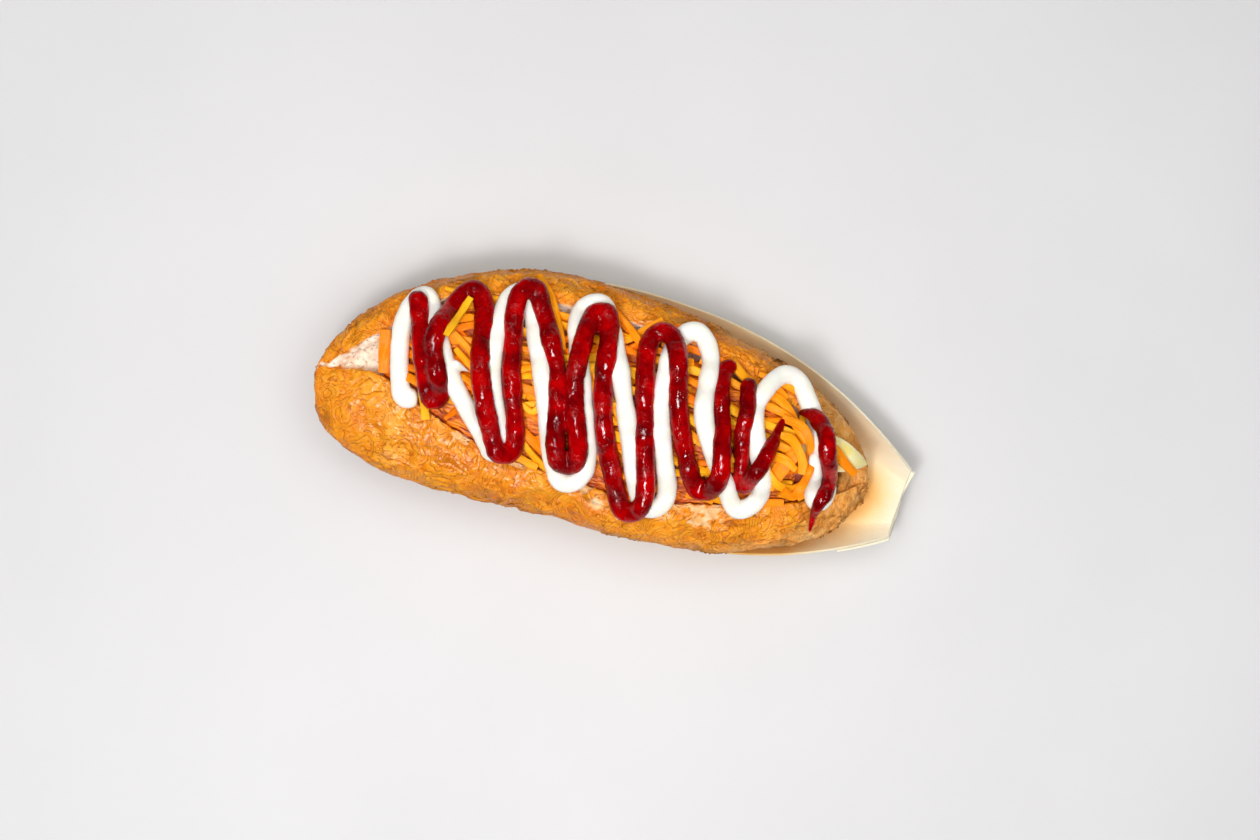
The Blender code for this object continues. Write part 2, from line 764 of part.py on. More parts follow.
def strokes(line, shortest=3):
    """Where a swinging line is cut at its turns, so that no stroke lies in itself."""
    swing, last = np.gradient(line[:, 1]), len(line) - 1
    turns = [i for i in range(2, last - 1) if swing[i] * swing[i + 1] <= 0]
    cuts = [turn for n, turn in enumerate(turns) if n == 0 or turn - turns[n - 1] > shortest]
    bounds = [0, *cuts, last]
    return [(max(a - 1, 0), min(b + 1, last)) for a, b in zip(bounds, bounds[1:]) if b - a > 1]


def add_bead(name, line, radius, pieces):
    """Strokes of a bead, each second one a little slimmer, lower and turned: no two rings fall together."""
    for number, (first, last) in enumerate(strokes(line)):
        odd = number % 2
        stroke = line[first : last + 1] + (0, 0, -LOWER * odd)
        girth = radius * (1 - SLIMMER * odd)
        swell = np.full(len(stroke), girth)
        swell[[0, -1]] *= BEAD_END
        move_to(tube(name, stroke, swell, SAUCE_SIDES, turn=math.pi / SAUCE_SIDES + TURNED * odd), pieces)


def add_shreds(lay, pieces):
    """Carrot shreds strewn over the heap, mostly along it, some of them over the lips."""
    draw = random.Random(SHRED_SEED)
    first, last = HEAP_LEFT + SHREDS_FROM_LEFT, HEAP_RIGHT - SHREDS_FROM_RIGHT
    for i in range(SHRED_COUNT):
        x = first + (last - first) * (i + draw.random()) / SHRED_COUNT
        near, far = slit_lips(x)
        y = near + (far - near) * (SHRED_LOWEST + SHRED_SPREAD * ((i * GOLDEN_SHARE) % 1))
        heading = math.radians(draw.gauss(0, SHRED_TURN))
        length = draw.uniform(*SHRED_LENGTHS)
        curl = draw.uniform(-SHRED_CURL, SHRED_CURL)
        plan = []
        for s in np.linspace(-length / 2, length / 2, SHRED_POINTS):
            way = heading + curl * s
            plan.append((x + s * math.cos(way), y + s * math.sin(way)))
        plan = [p for p in plan if lies_on_food(*p)]
        if len(plan) < 4:
            continue
        line = lay(np.array(plan), SHRED / 2, SHRED_SINK)
        move_to(tube("shred", line, [SHRED * 0.7] * len(line), 4, turn=math.pi / 4), pieces)


def lies_on_food(x, y):
    if not HEAP_LEFT + CLEAR_OF_LEFT < x < HEAP_RIGHT - CLEAR_OF_RIGHT:
        return False
    near, far = slit_lips(x)
    return near - OVER_LIP < y < far + OVER_LIP


def make_heap(roll, sausage, pickle):
    clear_of = [surface_top(obj) for obj in (roll, sausage, pickle)]
    heap = make_heap_body(*clear_of[1:])
    heap_top_at = surface_top(heap)

    def lay(plan, half, sink):
        return laid(plan, half, sink, heap_top_at, clear_of)

    pieces = bpy.data.collections.new("strands")
    add_shreds(lay, pieces)
    plan = zigzag(MAYONNAISE_START, MAYONNAISE_TURNS, MAYONNAISE_END)
    mayonnaise = lay(spline(plan), MAYONNAISE_RADIUS, SAUCE_SINK)
    add_bead("mayonnaise", mayonnaise, MAYONNAISE_RADIUS, pieces)
    for plan in (zigzag(KETCHUP_START, KETCHUP_TURNS, KETCHUP_END), LAST_KETCHUP):
        ketchup = lay(spline(plan), KETCHUP_RADIUS, SAUCE_SINK)
        ketchup = raised_over(ketchup, mayonnaise, MAYONNAISE_RADIUS + KETCHUP_RADIUS)
        add_bead("ketchup", ketchup, KETCHUP_RADIUS, pieces)
    return fuse(heap, pieces, KEPT_FACES)


# ---------------------------------------------------------------- the pickle slice


def make_pickle(roll, sausage):
    """A slice that lies over the sausage's end and the roll's lips, as low as they let it."""
    heading = np.array((math.cos(PICKLE_HEADING), math.sin(PICKLE_HEADING)))
    side = np.array((-heading[1], heading[0]))
    rings = []
    for t in np.linspace(0.02, 0.98, PICKLE_RINGS):
        half = PICKLE_WIDTH / 2 * math.sqrt(1 - abs(2 * t - 1) ** PICKLE_POINTED)
        middle = np.array(PICKLE_TIP) - heading * PICKLE_LENGTH * t
        height = -PICKLE_FALL * (1 - t) ** 2
        upper, lower = [], []
        for across, sunk, share in PICKLE_PROFILE:
            spot = middle + side * half * across
            z = height - sunk * PICKLE_THICKNESS
            upper.append((*spot, z))
            lower.append((*spot, z - share * PICKLE_THICKNESS))
        rings.append(np.array(upper + lower[::-1]))
    lift = 0
    for obj in (roll, sausage):
        top = surface_top(obj)
        for x, y, z in np.concatenate(rings):
            below = top(x, y, 1.5)
            if below is not None:
                lift = max(lift, below + 2 * GAP - z)
    return loft("pickle_slice", [ring + (0, 0, lift) for ring in rings])


# ---------------------------------------------------------------- looks


def paint(obj, colour, roughness):
    material = bpy.data.materials.new(obj.name)
    material.use_nodes = True
    surface = material.node_tree.nodes["Principled BSDF"]
    surface.inputs["Base Color"].default_value = (*colour, 1)
    surface.inputs["Roughness"].default_value = roughness
    surface.inputs["Metallic"].default_value = 0
    obj.data.materials.clear()
    obj.data.materials.append(material)


def main():
    clear_scene()
    boat = make_boat()
    roll = make_roll()
    sausage = make_sausage()
    pickle = make_pickle(roll, sausage)
    heap = make_heap(roll, sausage, pickle)
    paint(boat, (0.86, 0.68, 0.42), 0.55)
    paint(roll, (0.75, 0.33, 0.06), 0.42)
    paint(sausage, (0.42, 0.12, 0.05), 0.35)
    paint(heap, (0.9, 0.3, 0.02), 0.4)
    paint(pickle, (0.72, 0.68, 0.3), 0.3)


main()
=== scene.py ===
"""The finish of a hot dog in a thin wooden boat, made round its solid model.

The pieces are made in millimetres: x along the roll, y across it and z up. add_mesh turns them into metres.
The table, the lamps and the camera are in metres from the start.
"""

import math
import random

import bmesh
import bpy
import numpy as np
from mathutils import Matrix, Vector, noise
from mathutils.bvhtree import BVHTree


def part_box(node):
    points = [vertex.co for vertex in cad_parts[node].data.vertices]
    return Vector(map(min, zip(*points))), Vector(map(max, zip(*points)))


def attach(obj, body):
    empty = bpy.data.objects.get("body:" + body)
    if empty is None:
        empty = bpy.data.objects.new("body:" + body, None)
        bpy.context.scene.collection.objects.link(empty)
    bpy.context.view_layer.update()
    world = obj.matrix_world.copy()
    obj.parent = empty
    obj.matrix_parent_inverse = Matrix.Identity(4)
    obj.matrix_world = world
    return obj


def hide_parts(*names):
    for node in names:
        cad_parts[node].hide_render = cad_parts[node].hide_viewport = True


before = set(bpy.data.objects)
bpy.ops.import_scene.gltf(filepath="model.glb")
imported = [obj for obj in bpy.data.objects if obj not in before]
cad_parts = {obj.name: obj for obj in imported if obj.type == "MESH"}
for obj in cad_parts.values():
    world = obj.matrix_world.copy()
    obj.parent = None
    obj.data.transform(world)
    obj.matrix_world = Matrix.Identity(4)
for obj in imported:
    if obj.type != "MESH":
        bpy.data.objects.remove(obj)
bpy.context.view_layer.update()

METRE = 1000.0

# ---------------------------------------------------------------- sizes shared with the solids

GAP = 0.45  # clearance that neighbouring pieces keep

# The boat is a sheet of veneer with its sides bent up and its ends folded up.
BOAT_LENGTH = 190
BOAT_WIDTH = 84
BOAT_END_WIDTH = 24.6
BOAT_TAPER = 2.25  # how late the sides turn in towards the ends
BOAT_FLOOR_SHARE = 0.6  # flat part of the floor, as a share of the width
BOAT_FLOOR_FLAT = 60  # the floor stays on the table up to here, either way along the boat
BOAT_FLOOR_CURVE = 1.35
BOAT_SIDE_CURVE = 1.5
BOAT_RIM_MIDDLE = 17
BOAT_RIM_END = 21.5
BOAT_FLOOR_END = 18.5
BOAT_YAW = math.radians(-7.5)
BOAT_CENTRE = (11.6, 1.6)
BOAT_FOLD_SPACING = 0.8  # below 1, the sheet's points gather where its sides bend up
VENEER = 0.9
LAP_START = 0.83  # the folded laps begin at this share of the half length
LAP_EDGE = 0.96
TAB = 1.015  # the upper lap of each end sticks out this far

# What lies over the boat stays clear of its rim's slope and of its ends.
RIM_SLOPE = 0.5
RIM_REACH = 6
END_WALL = 12
END_RISE = 1
END_SLOPE = 0.9
BOAT_REACH = 2.6

# The roll's outline: a blunt end at -X, and a rounder, narrower one at +X.
ROLL_LEFT = -108
ROLL_RIGHT = 92.5
ROLL_HALF_WIDTH = 42.9
ROLL_TOP = 43
ROLL_LEFT_RISE = 3  # the top is higher by this towards -X
ROLL_RISE_START = -20
ROLL_RISE_RUN = 70
ROLL_WIDEST = 0.56  # the widest line, as a share of the height
ROLL_LEFT_TIP_HEIGHT = 35
ROLL_RIGHT_TIP_HEIGHT = 21
ROLL_BEND = ((-108, -9.5), (-85, -5), (-60, -0.5), (-25, 1.9), (6, -0.4), (35, -3.2), (92.5, -7))
# How full the roll stays towards its left tip and its right tip.
FULL_IN_PLAN = (2.75, 2.0)
FULL_ON_TOP = (4.5, 3.2)
FULL_BELOW = (2.6, 2.4)
# The lower these are, the squarer the shoulders and the belly, outwards and downwards.
SHOULDER_ROUNDING = (0.9, 0.8)
BELLY_ROUNDING = (0.85, 0.8)
LUMP = 19
SMALL_LUMP = 8
SMALL_LUMP_SHARE = 0.5
LUMP_HEIGHT = 0.9
LUMP_FREE_CORE = 12  # the lumps fade out nearer to the roll's middle line

# The slit along the roll's top: where its two lips run, and its depth.
NEAR_LIP = (
    (-104, -5.5),
    (-85, -4),
    (-65, -13.5),
    (-45, -21),
    (-10, -26.5),
    (12, -29),
    (32, -25.8),
    (62, -19.5),
    (80, -13),
    (91, -6),
)
FAR_LIP = (
    (-104, -3.5),
    (-88, 11),
    (-70, 26),
    (-45, 32.5),
    (0, 32.7),
    (25, 28.5),
    (50, 19.5),
    (75, 9.5),
    (91, 0),
)
NEAR_LIP_LIMIT = 0.7  # the lips stay within these shares of the roll's half width
FAR_LIP_LIMIT = 0.8
SLIT_LEFT = -104
SLIT_RIGHT = 91
SLIT_OPENS_OVER = 34
SLIT_OPENING = 0.75  # the lower these two, the sooner the slit is deep
SLIT_CLOSES_OVER = 22
SLIT_CLOSING = 0.8
SLIT_DEPTH = 33
SLIT_VALLEY = 0.27  # the slit's lowest line lies nearer the near lip
SLIT_END_VALLEY = 0.2
SLIT_VALLEY_RUN = 50
CUT_FACE_RIGHT = -87  # left of here the slit is shallow, and its far side shows as a flat cut face
CUT_FACE_DEPTH = 6
CUT_FACE_DROP = 17  # it falls to the slit's full depth over this length
CRUMB_FLOOR = 6  # least bread under the slit

SAUSAGE_RADIUS = 12
SAUSAGE_LEFT = -70
SAUSAGE_RIGHT = 74
SAUSAGE_FROM_NEAR_LIP = 14.5
SAUSAGE_MIDDLE = 2
SAUSAGE_EVEN = 40  # the girth is even up to here, either way from the middle
SAUSAGE_TAPER = 2.5
SAUSAGE_TAPER_RUN = 45
SAUSAGE_ROUNDING = 9
SAUSAGE_BLUNTNESS = 0.16

# The heap of carrot shreds.
HEAP_LEFT = -86
HEAP_RIGHT = 82
HEAP_CROWN = 9.5
HEAP_LIP_DROP = 2.2  # the heap's edge lies below the lips
HEAP_EDGE_RISE = 1.2
HEAP_ARCH = 2.4
HEAP_LEFT_TAPER = 16
HEAP_RIGHT_TAPER = 20
HEAP_END_DROP = 4

# ---------------------------------------------------------------- the sauces' courses and the pickle

# Each turn is its x and y, half its width, and the x halfway along the run that follows it.
# A taper is the share of its width that a bead keeps at its end, and the length over which it narrows.
TURN_SHAPE = 1.25
NO_TAPER = (1, 1)
KETCHUP_RADIUS = 3.3
KETCHUP_TAPER = (0.85, 45)
KETCHUP_START = (-77.4, 27.2)
KETCHUP_TURNS = (
    (-64.2, -8.4, 2.2, -67.5),
    (-58.3, 32.3, 5, -49.9),
    (-37.2, -22.3, 4, -39.3),
    (-38.2, 36.6, 4.5, -23),
    (-14.8, -21.5, 4.1, -16.8),
    (-12.8, 33.6, 3.6, -5.5),
    (10, -33.2, 5, 9.6),
    (10.6, 31.5, 5.3, 20.4),
    (33.6, -20.6, 5.4),
)
KETCHUP_END = ((34.6, 10.4), (33.3, 17), (33.7, 23.4), (37.2, 23.6))
SECOND_KETCHUP_RADIUS = 2.8
SECOND_KETCHUP_TAPER = (0.4, 16)
SECOND_KETCHUP = (
    (42.3, 21.7),
    (43.6, 11),
    (43.8, 1.6),
    (45.8, -8.6),
    (47.6, -15.9),
    (52, -8.2),
    (55.2, 2.8),
    (57.2, 11),
)
LAST_KETCHUP_RADIUS = 3.0
LAST_KETCHUP_TAPERS = ((0.35, 9), (0.25, 18))
LAST_KETCHUP = (
    (61.6, 13.6),
    (67.4, 13.6),
    (72.2, 8.4),
    (74.3, 1),
    (77, -6.4),
    (77, -12.4),
    (75.2, -18),
    (75, -27.4),
)
MAYONNAISE_RADIUS = 3.2
MAYONNAISE_TAPER = (0.7, 18)
MAYONNAISE_START = (-69.6, -8.4)
MAYONNAISE_TURNS = (
    (-75.5, -9.2, 0, -79.8),
    (-74.6, 26.4, 4.6, -60.6),
    (-40.8, -22.4, 2.8, -46.2),
    (-41.8, 34.6, 4.7, -27.1),
    (-13.3, -27.8, 6.2, -13.6),
    (-14.6, 36.7, 6, 1.8),
    (17, -30.5, 5.4, 14.7),
    (20.8, 34.2, 6.9, 29.3),
    (47.9, -24.2, 6.7),
)
MAYONNAISE_END = (
    (46.9, 8),
    (48.4, 18),
    (53.6, 25.2),
    (59.6, 24.6),
    (64.6, 18.2),
    (69.6, 9.4),
    (73.6, 0),
    (77.4, -8.6),
    (77.2, -14.6),
    (74.6, -15.8),
    (72.6, -11.4),
    (70.9, -4.6),
    (69.9, 1),
)
SPUR_RADIUS = 1.6
SPUR_TAPER = (0.3, 6)
SPUR = ((-60, 5.6), (-56.5, 4.3), (-53.4, 3.4))

PICKLE_LENGTH = 31
PICKLE_WIDTH = 13
PICKLE_THICKNESS = 2.4
PICKLE_TIP = (90.4, 0.8)
PICKLE_HEADING = math.radians(-4)
PICKLE_FALL = 10.5  # its tip lies this far below its other end
PICKLE_POINTED = 1.8
PICKLE_EDGE = 0.95
PICKLE_ENDS = 0.02  # both points are cut short by this share of the length
# Shares across the slice, from its middle to its edge: how far it droops, and how thick it is.
PICKLE_SAG = ((0, 0.6, 1), (0, 0.1, 0.35))
PICKLE_EDGES = ((0, 0.6, 0.88, 1), (1, 1, 0.7, 0.3))

# ---------------------------------------------------------------- sizes of the finer pieces

CRUST_STEP = 0.7  # spacing of the crust's points where it shows
CRUST_POINTS = 236  # points round the crust, and across the slit
SLIT_POINTS = 64
SEEN_ABOVE = 9  # the points stand close from this height up, and wider apart below
SEEN_RUN = 8
UNSEEN_WEIGHT = 0.22
SLIT_EDGE_WEIGHT = 0.3
CLOSED_END = 83  # from here on torn bread fills the slit up to CLOSED_DEPTH below the roll's top
CLOSED_RUN = 8
CLOSED_DEPTH = 3.5

# Layers of noise in the bread and the sauces: the size of the lumps, their depth and their seed.
DENTS = ((6.5, 0.55, 1.0), (2.9, 0.26, 6.0), (1.4, 0.11, 3.0))
CRUMB_LUMPS = ((3.1, 0.55, 14.0), (1.5, 0.45, 19.0))
TORN_LUMPS = ((3.4, 1.2, 35.0), (1.7, 0.7, 36.0))
MAYONNAISE_LUMPS = ((7, 0.22, 87.0), (3, 0.06, 83.0))
KETCHUP_LUMPS = ((4, 0.24, 84.0), (1.7, 0.13, 81.7))
FLAKE_HEIGHT = 0.60
LONG_FOLD_DEPTH = 0.55
SMALL_FOLD_DEPTH = 0.34
CRACK_DEPTH = 0.95
TORN_RISE = 0.4

TAB_START = 0.996  # from here on the upper lap is a small pointed tab at its own side
TAB_WIDTH = 0.75
LAP_REACH = 0.1  # how far past the boat's middle line a lap goes at LAP_FULL, and its slant
LAP_SLANT = 1.9
LAP_FULL = 0.98
LAP_SINK = 0.1
LAP_THICKNESS = 0.85
VENEER_RIPPLE = 0.10
STAIN_REACH = 20  # how far from the roll the veneer carries painted warm bounce light and shade
STAIN_START = -2
ROLL_TIP_REACH = 14  # half the width of the painted bounce and shade's round end at the roll's right tip
FAR_SIDE_STAIN = 0.45  # the painted bounce and shade's share along the boat's far side
FAR_SIDE_START = -10
FAR_SIDE_RUN = 16

BEAD_STEP = 0.7
BEAD_FLATNESS = 0.86  # a bead's height as a share of its width
BEAD_FOOT = 0.8  # it rests on what lies within this share of its half width
BEAD_RISE = 0.62  # its middle line is this share of its half width above that
BEAD_TIP = 0.9  # its round ends are this long, as a share of its half width
BEAD_SWELLS = ((9.0, 0.12, 0.0), (3.2, 0.05, 5.0))  # waves along a bead: length, depth and seed
MAYONNAISE_VOXEL = 0.6
KETCHUP_VOXEL = 0.5

CORE_DROP = 3.2  # the heap's core lies this far below the shreds' crown
CORE_EDGE = 0.5  # and this much less near the lips
CORE_ENDS = 12
CORE_LEAST = 0.9
CORE_FLOOR_GAP = 0.45
CORE_ROUGHNESS = 0.7
SHRED_WIDTH = 2.8
SHRED_THICKNESS = 1.5
SHRED_STEP = 1.6
SHRED_TRIES = 3300
SHRED_LENGTHS = (22, 66)
SHRED_CURL = 0.02
SHRED_SWAY = 0.4
SWAY_LENGTH = 6
SHRED_SPREAD = (0.75, 1.2)  # of the widths and thicknesses, as shares
SHRED_TAPER = 4
SHRED_SQUARENESS = 0.55  # 1 makes a shred oval across, and less makes it square
FINE_STEP = 1.25
SHRED_SEED = 5
SHRED_LEAST_POINTS = 6
SHREDS_ABOVE = 1.7  # how far the pile may stand above the solid heap
SHREDS_ON_EDGE = 2.2  # and above the roll's top between the lips
SHREDS_ON_LIP = 2.6  # and above the bread of the lips
SHRED_OUTSIDE = 0.15  # the share of a shred that may stand higher
ALONG_SHARE = 0.72  # this share of the shreds lies along the heap, and the others any way
ALONG_SPREAD = 0.26
CROSS_SPREAD = 1.1
LIP_SHARE = 0.12  # how readily a shred starts on a lip, against between the lips
PILE_CELL = 0.6
PILE_SIDES = (-48, 50)
ABOVE_ALL = 200
OVER_NEAR_LIP = -0.4
OVER_FAR_LIP = 4

# Shreds that lie in plain sight: width and plan points.
PLACED_SHREDS = (
    (4.2, ((-86, 12), (-84.7, 3.6), (-83.6, -3))),
    (3.0, ((-68.6, -6.5), (-67.2, -11), (-65.7, -16))),
    (3.2, ((-76, -2.6), (-72, -3.4), (-68, -4.6))),
    (2.8, ((-37.5, 42), (-33, 37), (-28.3, 29), (-23.4, 17.7))),
    (2.6, ((-61.8, 2.4), (-52.7, 0.1), (-48, -5.5))),
    (2.7, ((-62, 15.5), (-55, 10.9), (-50.6, 6))),
    (2.5, ((-39, 6), (-33.3, 9.2), (-27.5, 8.9))),
    (2.4, ((-33.5, -3.6), (-29.1, -5.6), (-26, 0))),
    (2.8, ((8, 20.7), (14, 22.3), (22, 23))),
    (2.8, ((19.5, 11.6), (27.2, 8.9), (34, 8))),
    (2.8, ((45.5, 24), (56.3, 22.2), (63.4, 19.1))),
    (2.6, ((-22, 0.5), (-20, 5), (-18.6, 9.5))),
    (2.6, ((-13, 10.5), (-7.2, 3.3), (-1, -3.4))),
    (2.6, ((-9.4, 35.6), (-1.4, 29.5), (7.6, 20))),
    (3.6, ((51, 2.2), (57.4, 0.7), (63.5, -0.5))),
    (5.2, ((56.2, -14.6), (60.4, -5.4), (64.6, 0.4))),
    (3.0, ((44.5, 18.8), (50.5, 20.6), (57, 17.6))),
    (3.2, ((46, 16.4), (52, 17.4), (58, 14.2), (62, 9.5))),
    (3.2, ((54, -3.2), (59.6, -3.6), (64.5, -6.4))),
    (2.8, ((47, 13.6), (53, 13.2), (60, 10.4), (66, 3.4))),
    (3.4, ((57, 4.5), (61.5, 3.4), (66, -2.5), (66.8, -7.4))),
    (3.0, ((55, -8.5), (59.2, -12.6), (65, -13.2), (69.6, -9.6))),
    (3.1, ((56.6, 10.6), (64.7, 8.2), (69, 0), (68.7, -9), (66.1, -15.6), (61.8, -14.4))),
    (3.6, ((74.6, 5.8), (79.3, 1.2), (83.4, -1.8), (86.2, -3.4))),
    (3.2, ((35, 26.4), (40, 22.2), (45.5, 18.2))),
)
TOP_SHRED = (2.7, ((-58.6, 29), (-60.4, 24), (-63.6, 14)))  # lies on the ketchup
BARE_SPOTS = ((-1.5, -25.5, 5), (25, -22.5, 4))  # no shreds here: the sausage shows
# Places where the crust is torn and the crumb shows, each with its reach.
TORN_SPOTS = (
    (-52, -19.4, 3.2),
    (-31.1, -23.5, 3.4),
    (-5.9, -29.2, 3),
    (-0.8, -32.2, 3.6),
    (14.1, -31, 3),
    (27.3, -27.5, 4.6),
    (36, -31.2, 3.4),
    (39.4, -26.9, 4.6),
    (46.3, -24, 3.4),
    (55.4, -22, 3),
    (66, 19, 3),
)


# The table, the lamps and the camera, in metres. A lamp is its place, size and power.
TABLE_REACH = 3.0
LAMPS_FACE = (0, 0, 0.02)
KEY_LAMP = ((-0.15, -0.33, 1.15), 0.22, 4.9)
KEY_COLOUR = (1.0, 0.99, 0.975)
SHINE_LAMP = ((-0.12, -0.40, 1.1), 0.30, 13.0)
RING_LAMPS = 5
RING_TURN = math.radians(-10)
RING_RADIUS = 0.42
RING_HEIGHT = 1.12
RING_SIZE = 0.55
RING_POWER = 2.4
ROOM_COLOUR = (1.0, 0.995, 0.985)
ROOM_STRENGTH = 0.17
LENS = 69.6
SENSOR = 36
CAMERA_PLACE = (0.00446, -0.0013, 0.9)
CAMERA_TURN = math.radians(12)


# ---------------------------------------------------------------- curves and shapes of the solids


def ease(t):
    """From 0 to 1 with no corner at either end."""
    t = np.clip(t, 0.0, 1.0)
    return t * t * (3 - 2 * t)


def smooth_curve(table):
    """A function that runs smoothly through (position, value) pairs."""
    at, value = (np.array(column, float) for column in zip(*table))
    slope = np.gradient(value, at)

    def curve(x):
        x = np.clip(x, at[0], at[-1])
        i = np.clip(np.searchsorted(at, x) - 1, 0, len(at) - 2)
        span = at[i + 1] - at[i]
        t = (x - at[i]) / span
        return (
            value[i] * (1 + 2 * t) * (1 - t) ** 2
            + slope[i] * span * t * (1 - t) ** 2
            + value[i + 1] * t * t * (3 - 2 * t)
            + slope[i + 1] * span * t * t * (t - 1)
        )

    return curve


roll_bend = smooth_curve(ROLL_BEND)
near_lip = smooth_curve(NEAR_LIP)
far_lip = smooth_curve(FAR_LIP)


def boat_half_width(along):
    end, middle = BOAT_END_WIDTH / 2, BOAT_WIDTH / 2
    return end + (middle - end) * (1 - np.minimum(np.abs(along) / (BOAT_LENGTH / 2), 1) ** BOAT_TAPER)


def boat_floor_height(along):
    past = np.maximum(0, np.abs(along) - BOAT_FLOOR_FLAT) / (BOAT_LENGTH / 2 - BOAT_FLOOR_FLAT)
    return VENEER + (BOAT_FLOOR_END - VENEER) * past**BOAT_FLOOR_CURVE


def boat_rim_height(along):
    return BOAT_RIM_MIDDLE + (BOAT_RIM_END - BOAT_RIM_MIDDLE) * (along / (BOAT_LENGTH / 2)) ** 2


def boat_inside_height(along, across):
    half = boat_half_width(along)
    flat = half * BOAT_FLOOR_SHARE
    rise = np.clip((np.abs(across) - flat) / (half - flat), 0, 1)
    floor, rim = boat_floor_height(along), boat_rim_height(along)
    return floor + (rim - floor) * rise**BOAT_SIDE_CURVE


def boat_to_row(along, across):
    c, s = math.cos(BOAT_YAW), math.sin(BOAT_YAW)
    return BOAT_CENTRE[0] + along * c - across * s, BOAT_CENTRE[1] + along * s + across * c


def row_to_boat(x, y):
    c, s = math.cos(BOAT_YAW), math.sin(BOAT_YAW)
    dx, dy = x - BOAT_CENTRE[0], y - BOAT_CENTRE[1]
    return dx * c + dy * s, dy * c - dx * s


def boat_top(x, y):
    along, across = row_to_boat(x, y)
    half_length = BOAT_LENGTH / 2
    inside = np.clip(along, -half_length, half_length)
    beyond = np.maximum(0, np.abs(across) - boat_half_width(inside))
    side = boat_inside_height(inside, across) + RIM_SLOPE * np.minimum(beyond, RIM_REACH)
    end = (BOAT_RIM_END + END_RISE) * ease((np.abs(along) - half_length + END_WALL) / END_WALL)
    return np.maximum(side, end) - END_SLOPE * np.maximum(0, np.abs(along) - half_length)


def boat_clearance(x, y):
    """Least height of anything that lies in the boat or hangs over its rim."""
    turns = [math.pi / 4 * i for i in range(8)]
    spots = [boat_top(x + BOAT_REACH * math.cos(t), y + BOAT_REACH * math.sin(t)) for t in turns]
    return np.maximum.reduce(spots) + 2 * GAP


def roll_fullness(x, powers=FULL_IN_PLAN):
    left_power, right_power = powers
    middle, half = (ROLL_LEFT + ROLL_RIGHT) / 2, (ROLL_RIGHT - ROLL_LEFT) / 2
    share = np.minimum(np.abs(x - middle) / half, 1)
    return np.sqrt(np.maximum(0, 1 - share ** np.where(x < middle, left_power, right_power)))


def roll_tip_height(x):
    return np.where(x < (ROLL_LEFT + ROLL_RIGHT) / 2, ROLL_LEFT_TIP_HEIGHT, ROLL_RIGHT_TIP_HEIGHT)


def roll_top(x):
    tip = roll_tip_height(x)
    crown = ROLL_TOP + ROLL_LEFT_RISE * ease((ROLL_RISE_START - x) / ROLL_RISE_RUN)
    return tip + (crown - tip) * roll_fullness(x, FULL_ON_TOP)


def roll_bottom(x):
    tip = roll_tip_height(x)
    return tip - (tip - VENEER - 2 * GAP) * roll_fullness(x, FULL_BELOW)


def slit_lips(x):
    half, bend = ROLL_HALF_WIDTH * roll_fullness(x), roll_bend(x)
    near = np.maximum(near_lip(x), bend - NEAR_LIP_LIMIT * half)
    return near, np.minimum(far_lip(x), bend + FAR_LIP_LIMIT * half)


def slit_openness(x):
    opens = ease((x - SLIT_LEFT) / SLIT_OPENS_OVER) ** SLIT_OPENING
    return opens * ease((SLIT_RIGHT - x) / SLIT_CLOSES_OVER) ** SLIT_CLOSING


def slit_bias(x):
    """The power that puts the slit's lowest line at its share of the way from the near lip."""
    valley = SLIT_END_VALLEY + (SLIT_VALLEY - SLIT_END_VALLEY) * ease((x - SLIT_LEFT) / SLIT_VALLEY_RUN)
    return np.log(valley) / math.log(0.5)


def slit_point(x, part):
    """The slit's wall: the near lip at part 0, the valley halfway and the far lip at part 1."""
    near, far = slit_lips(x)
    bias = slit_bias(x)
    underside = np.maximum(roll_bottom(x), boat_clearance(x, near + 0.5**bias * (far - near)))
    face = CUT_FACE_DEPTH + SLIT_DEPTH * ease((x - CUT_FACE_RIGHT) / CUT_FACE_DROP)
    depth = np.minimum(SLIT_DEPTH * slit_openness(x), face)
    deepest = np.maximum(roll_top(x) - depth, underside + CRUMB_FLOOR)
    drop = (roll_top(x) - deepest) * (1 - (2 * part - 1) ** 2)
    return near + (far - near) * part**bias, roll_top(x) - drop


def slit_height(x, y):
    near, far = slit_lips(x)
    share = np.clip((y - near) / (far - near), 0, 1)
    return slit_point(x, share ** (1 / slit_bias(x)))[1]


def heap_top(x, y):
    """Height of the solid heap's body between the lips."""
    near, far = slit_lips(x)
    taper = ease((x - HEAP_LEFT) / HEAP_LEFT_TAPER) * ease((HEAP_RIGHT - x) / HEAP_RIGHT_TAPER)
    arch = 1 - np.minimum(np.abs(2 * (y - near) / (far - near) - 1), 1) ** HEAP_ARCH
    crown = HEAP_CROWN * taper + HEAP_EDGE_RISE
    return roll_top(x) - HEAP_LIP_DROP + crown * arch - HEAP_END_DROP * (1 - taper)


# ---------------------------------------------------------------- fields, lines and meshes


def field(points, size, seed=0.0):
    """Smooth noise from about -1 to 1, with lumps of that size."""
    spots = points.reshape(-1, 3) / size + seed
    return np.array([noise.noise(spot) for spot in spots]).reshape(points.shape[:-1])


def layers(points, table):
    """Noise fields added up, each with its size, depth and seed."""
    return sum(depth * field(points, size, seed) for size, depth, seed in table)


def patches(points, size, seed, contrast, amount):
    """From 0 to 1, where something shows: patches of that size, more of them at a higher amount."""
    return ease(field(points, size, seed) * contrast + amount)


def warped(points, size, reach, seed=0.0):
    """The points shaken sideways by noise, so that lines drawn from them wander."""
    shaken = [field(points, size, seed + 7.3 * (axis + 1)) for axis in range(3)]
    return points + reach * np.stack(shaken, axis=-1)


def crease(value, width):
    """1 along the lines where a field crosses zero, and 0 away from them."""
    return np.exp(-((value / width) ** 2))


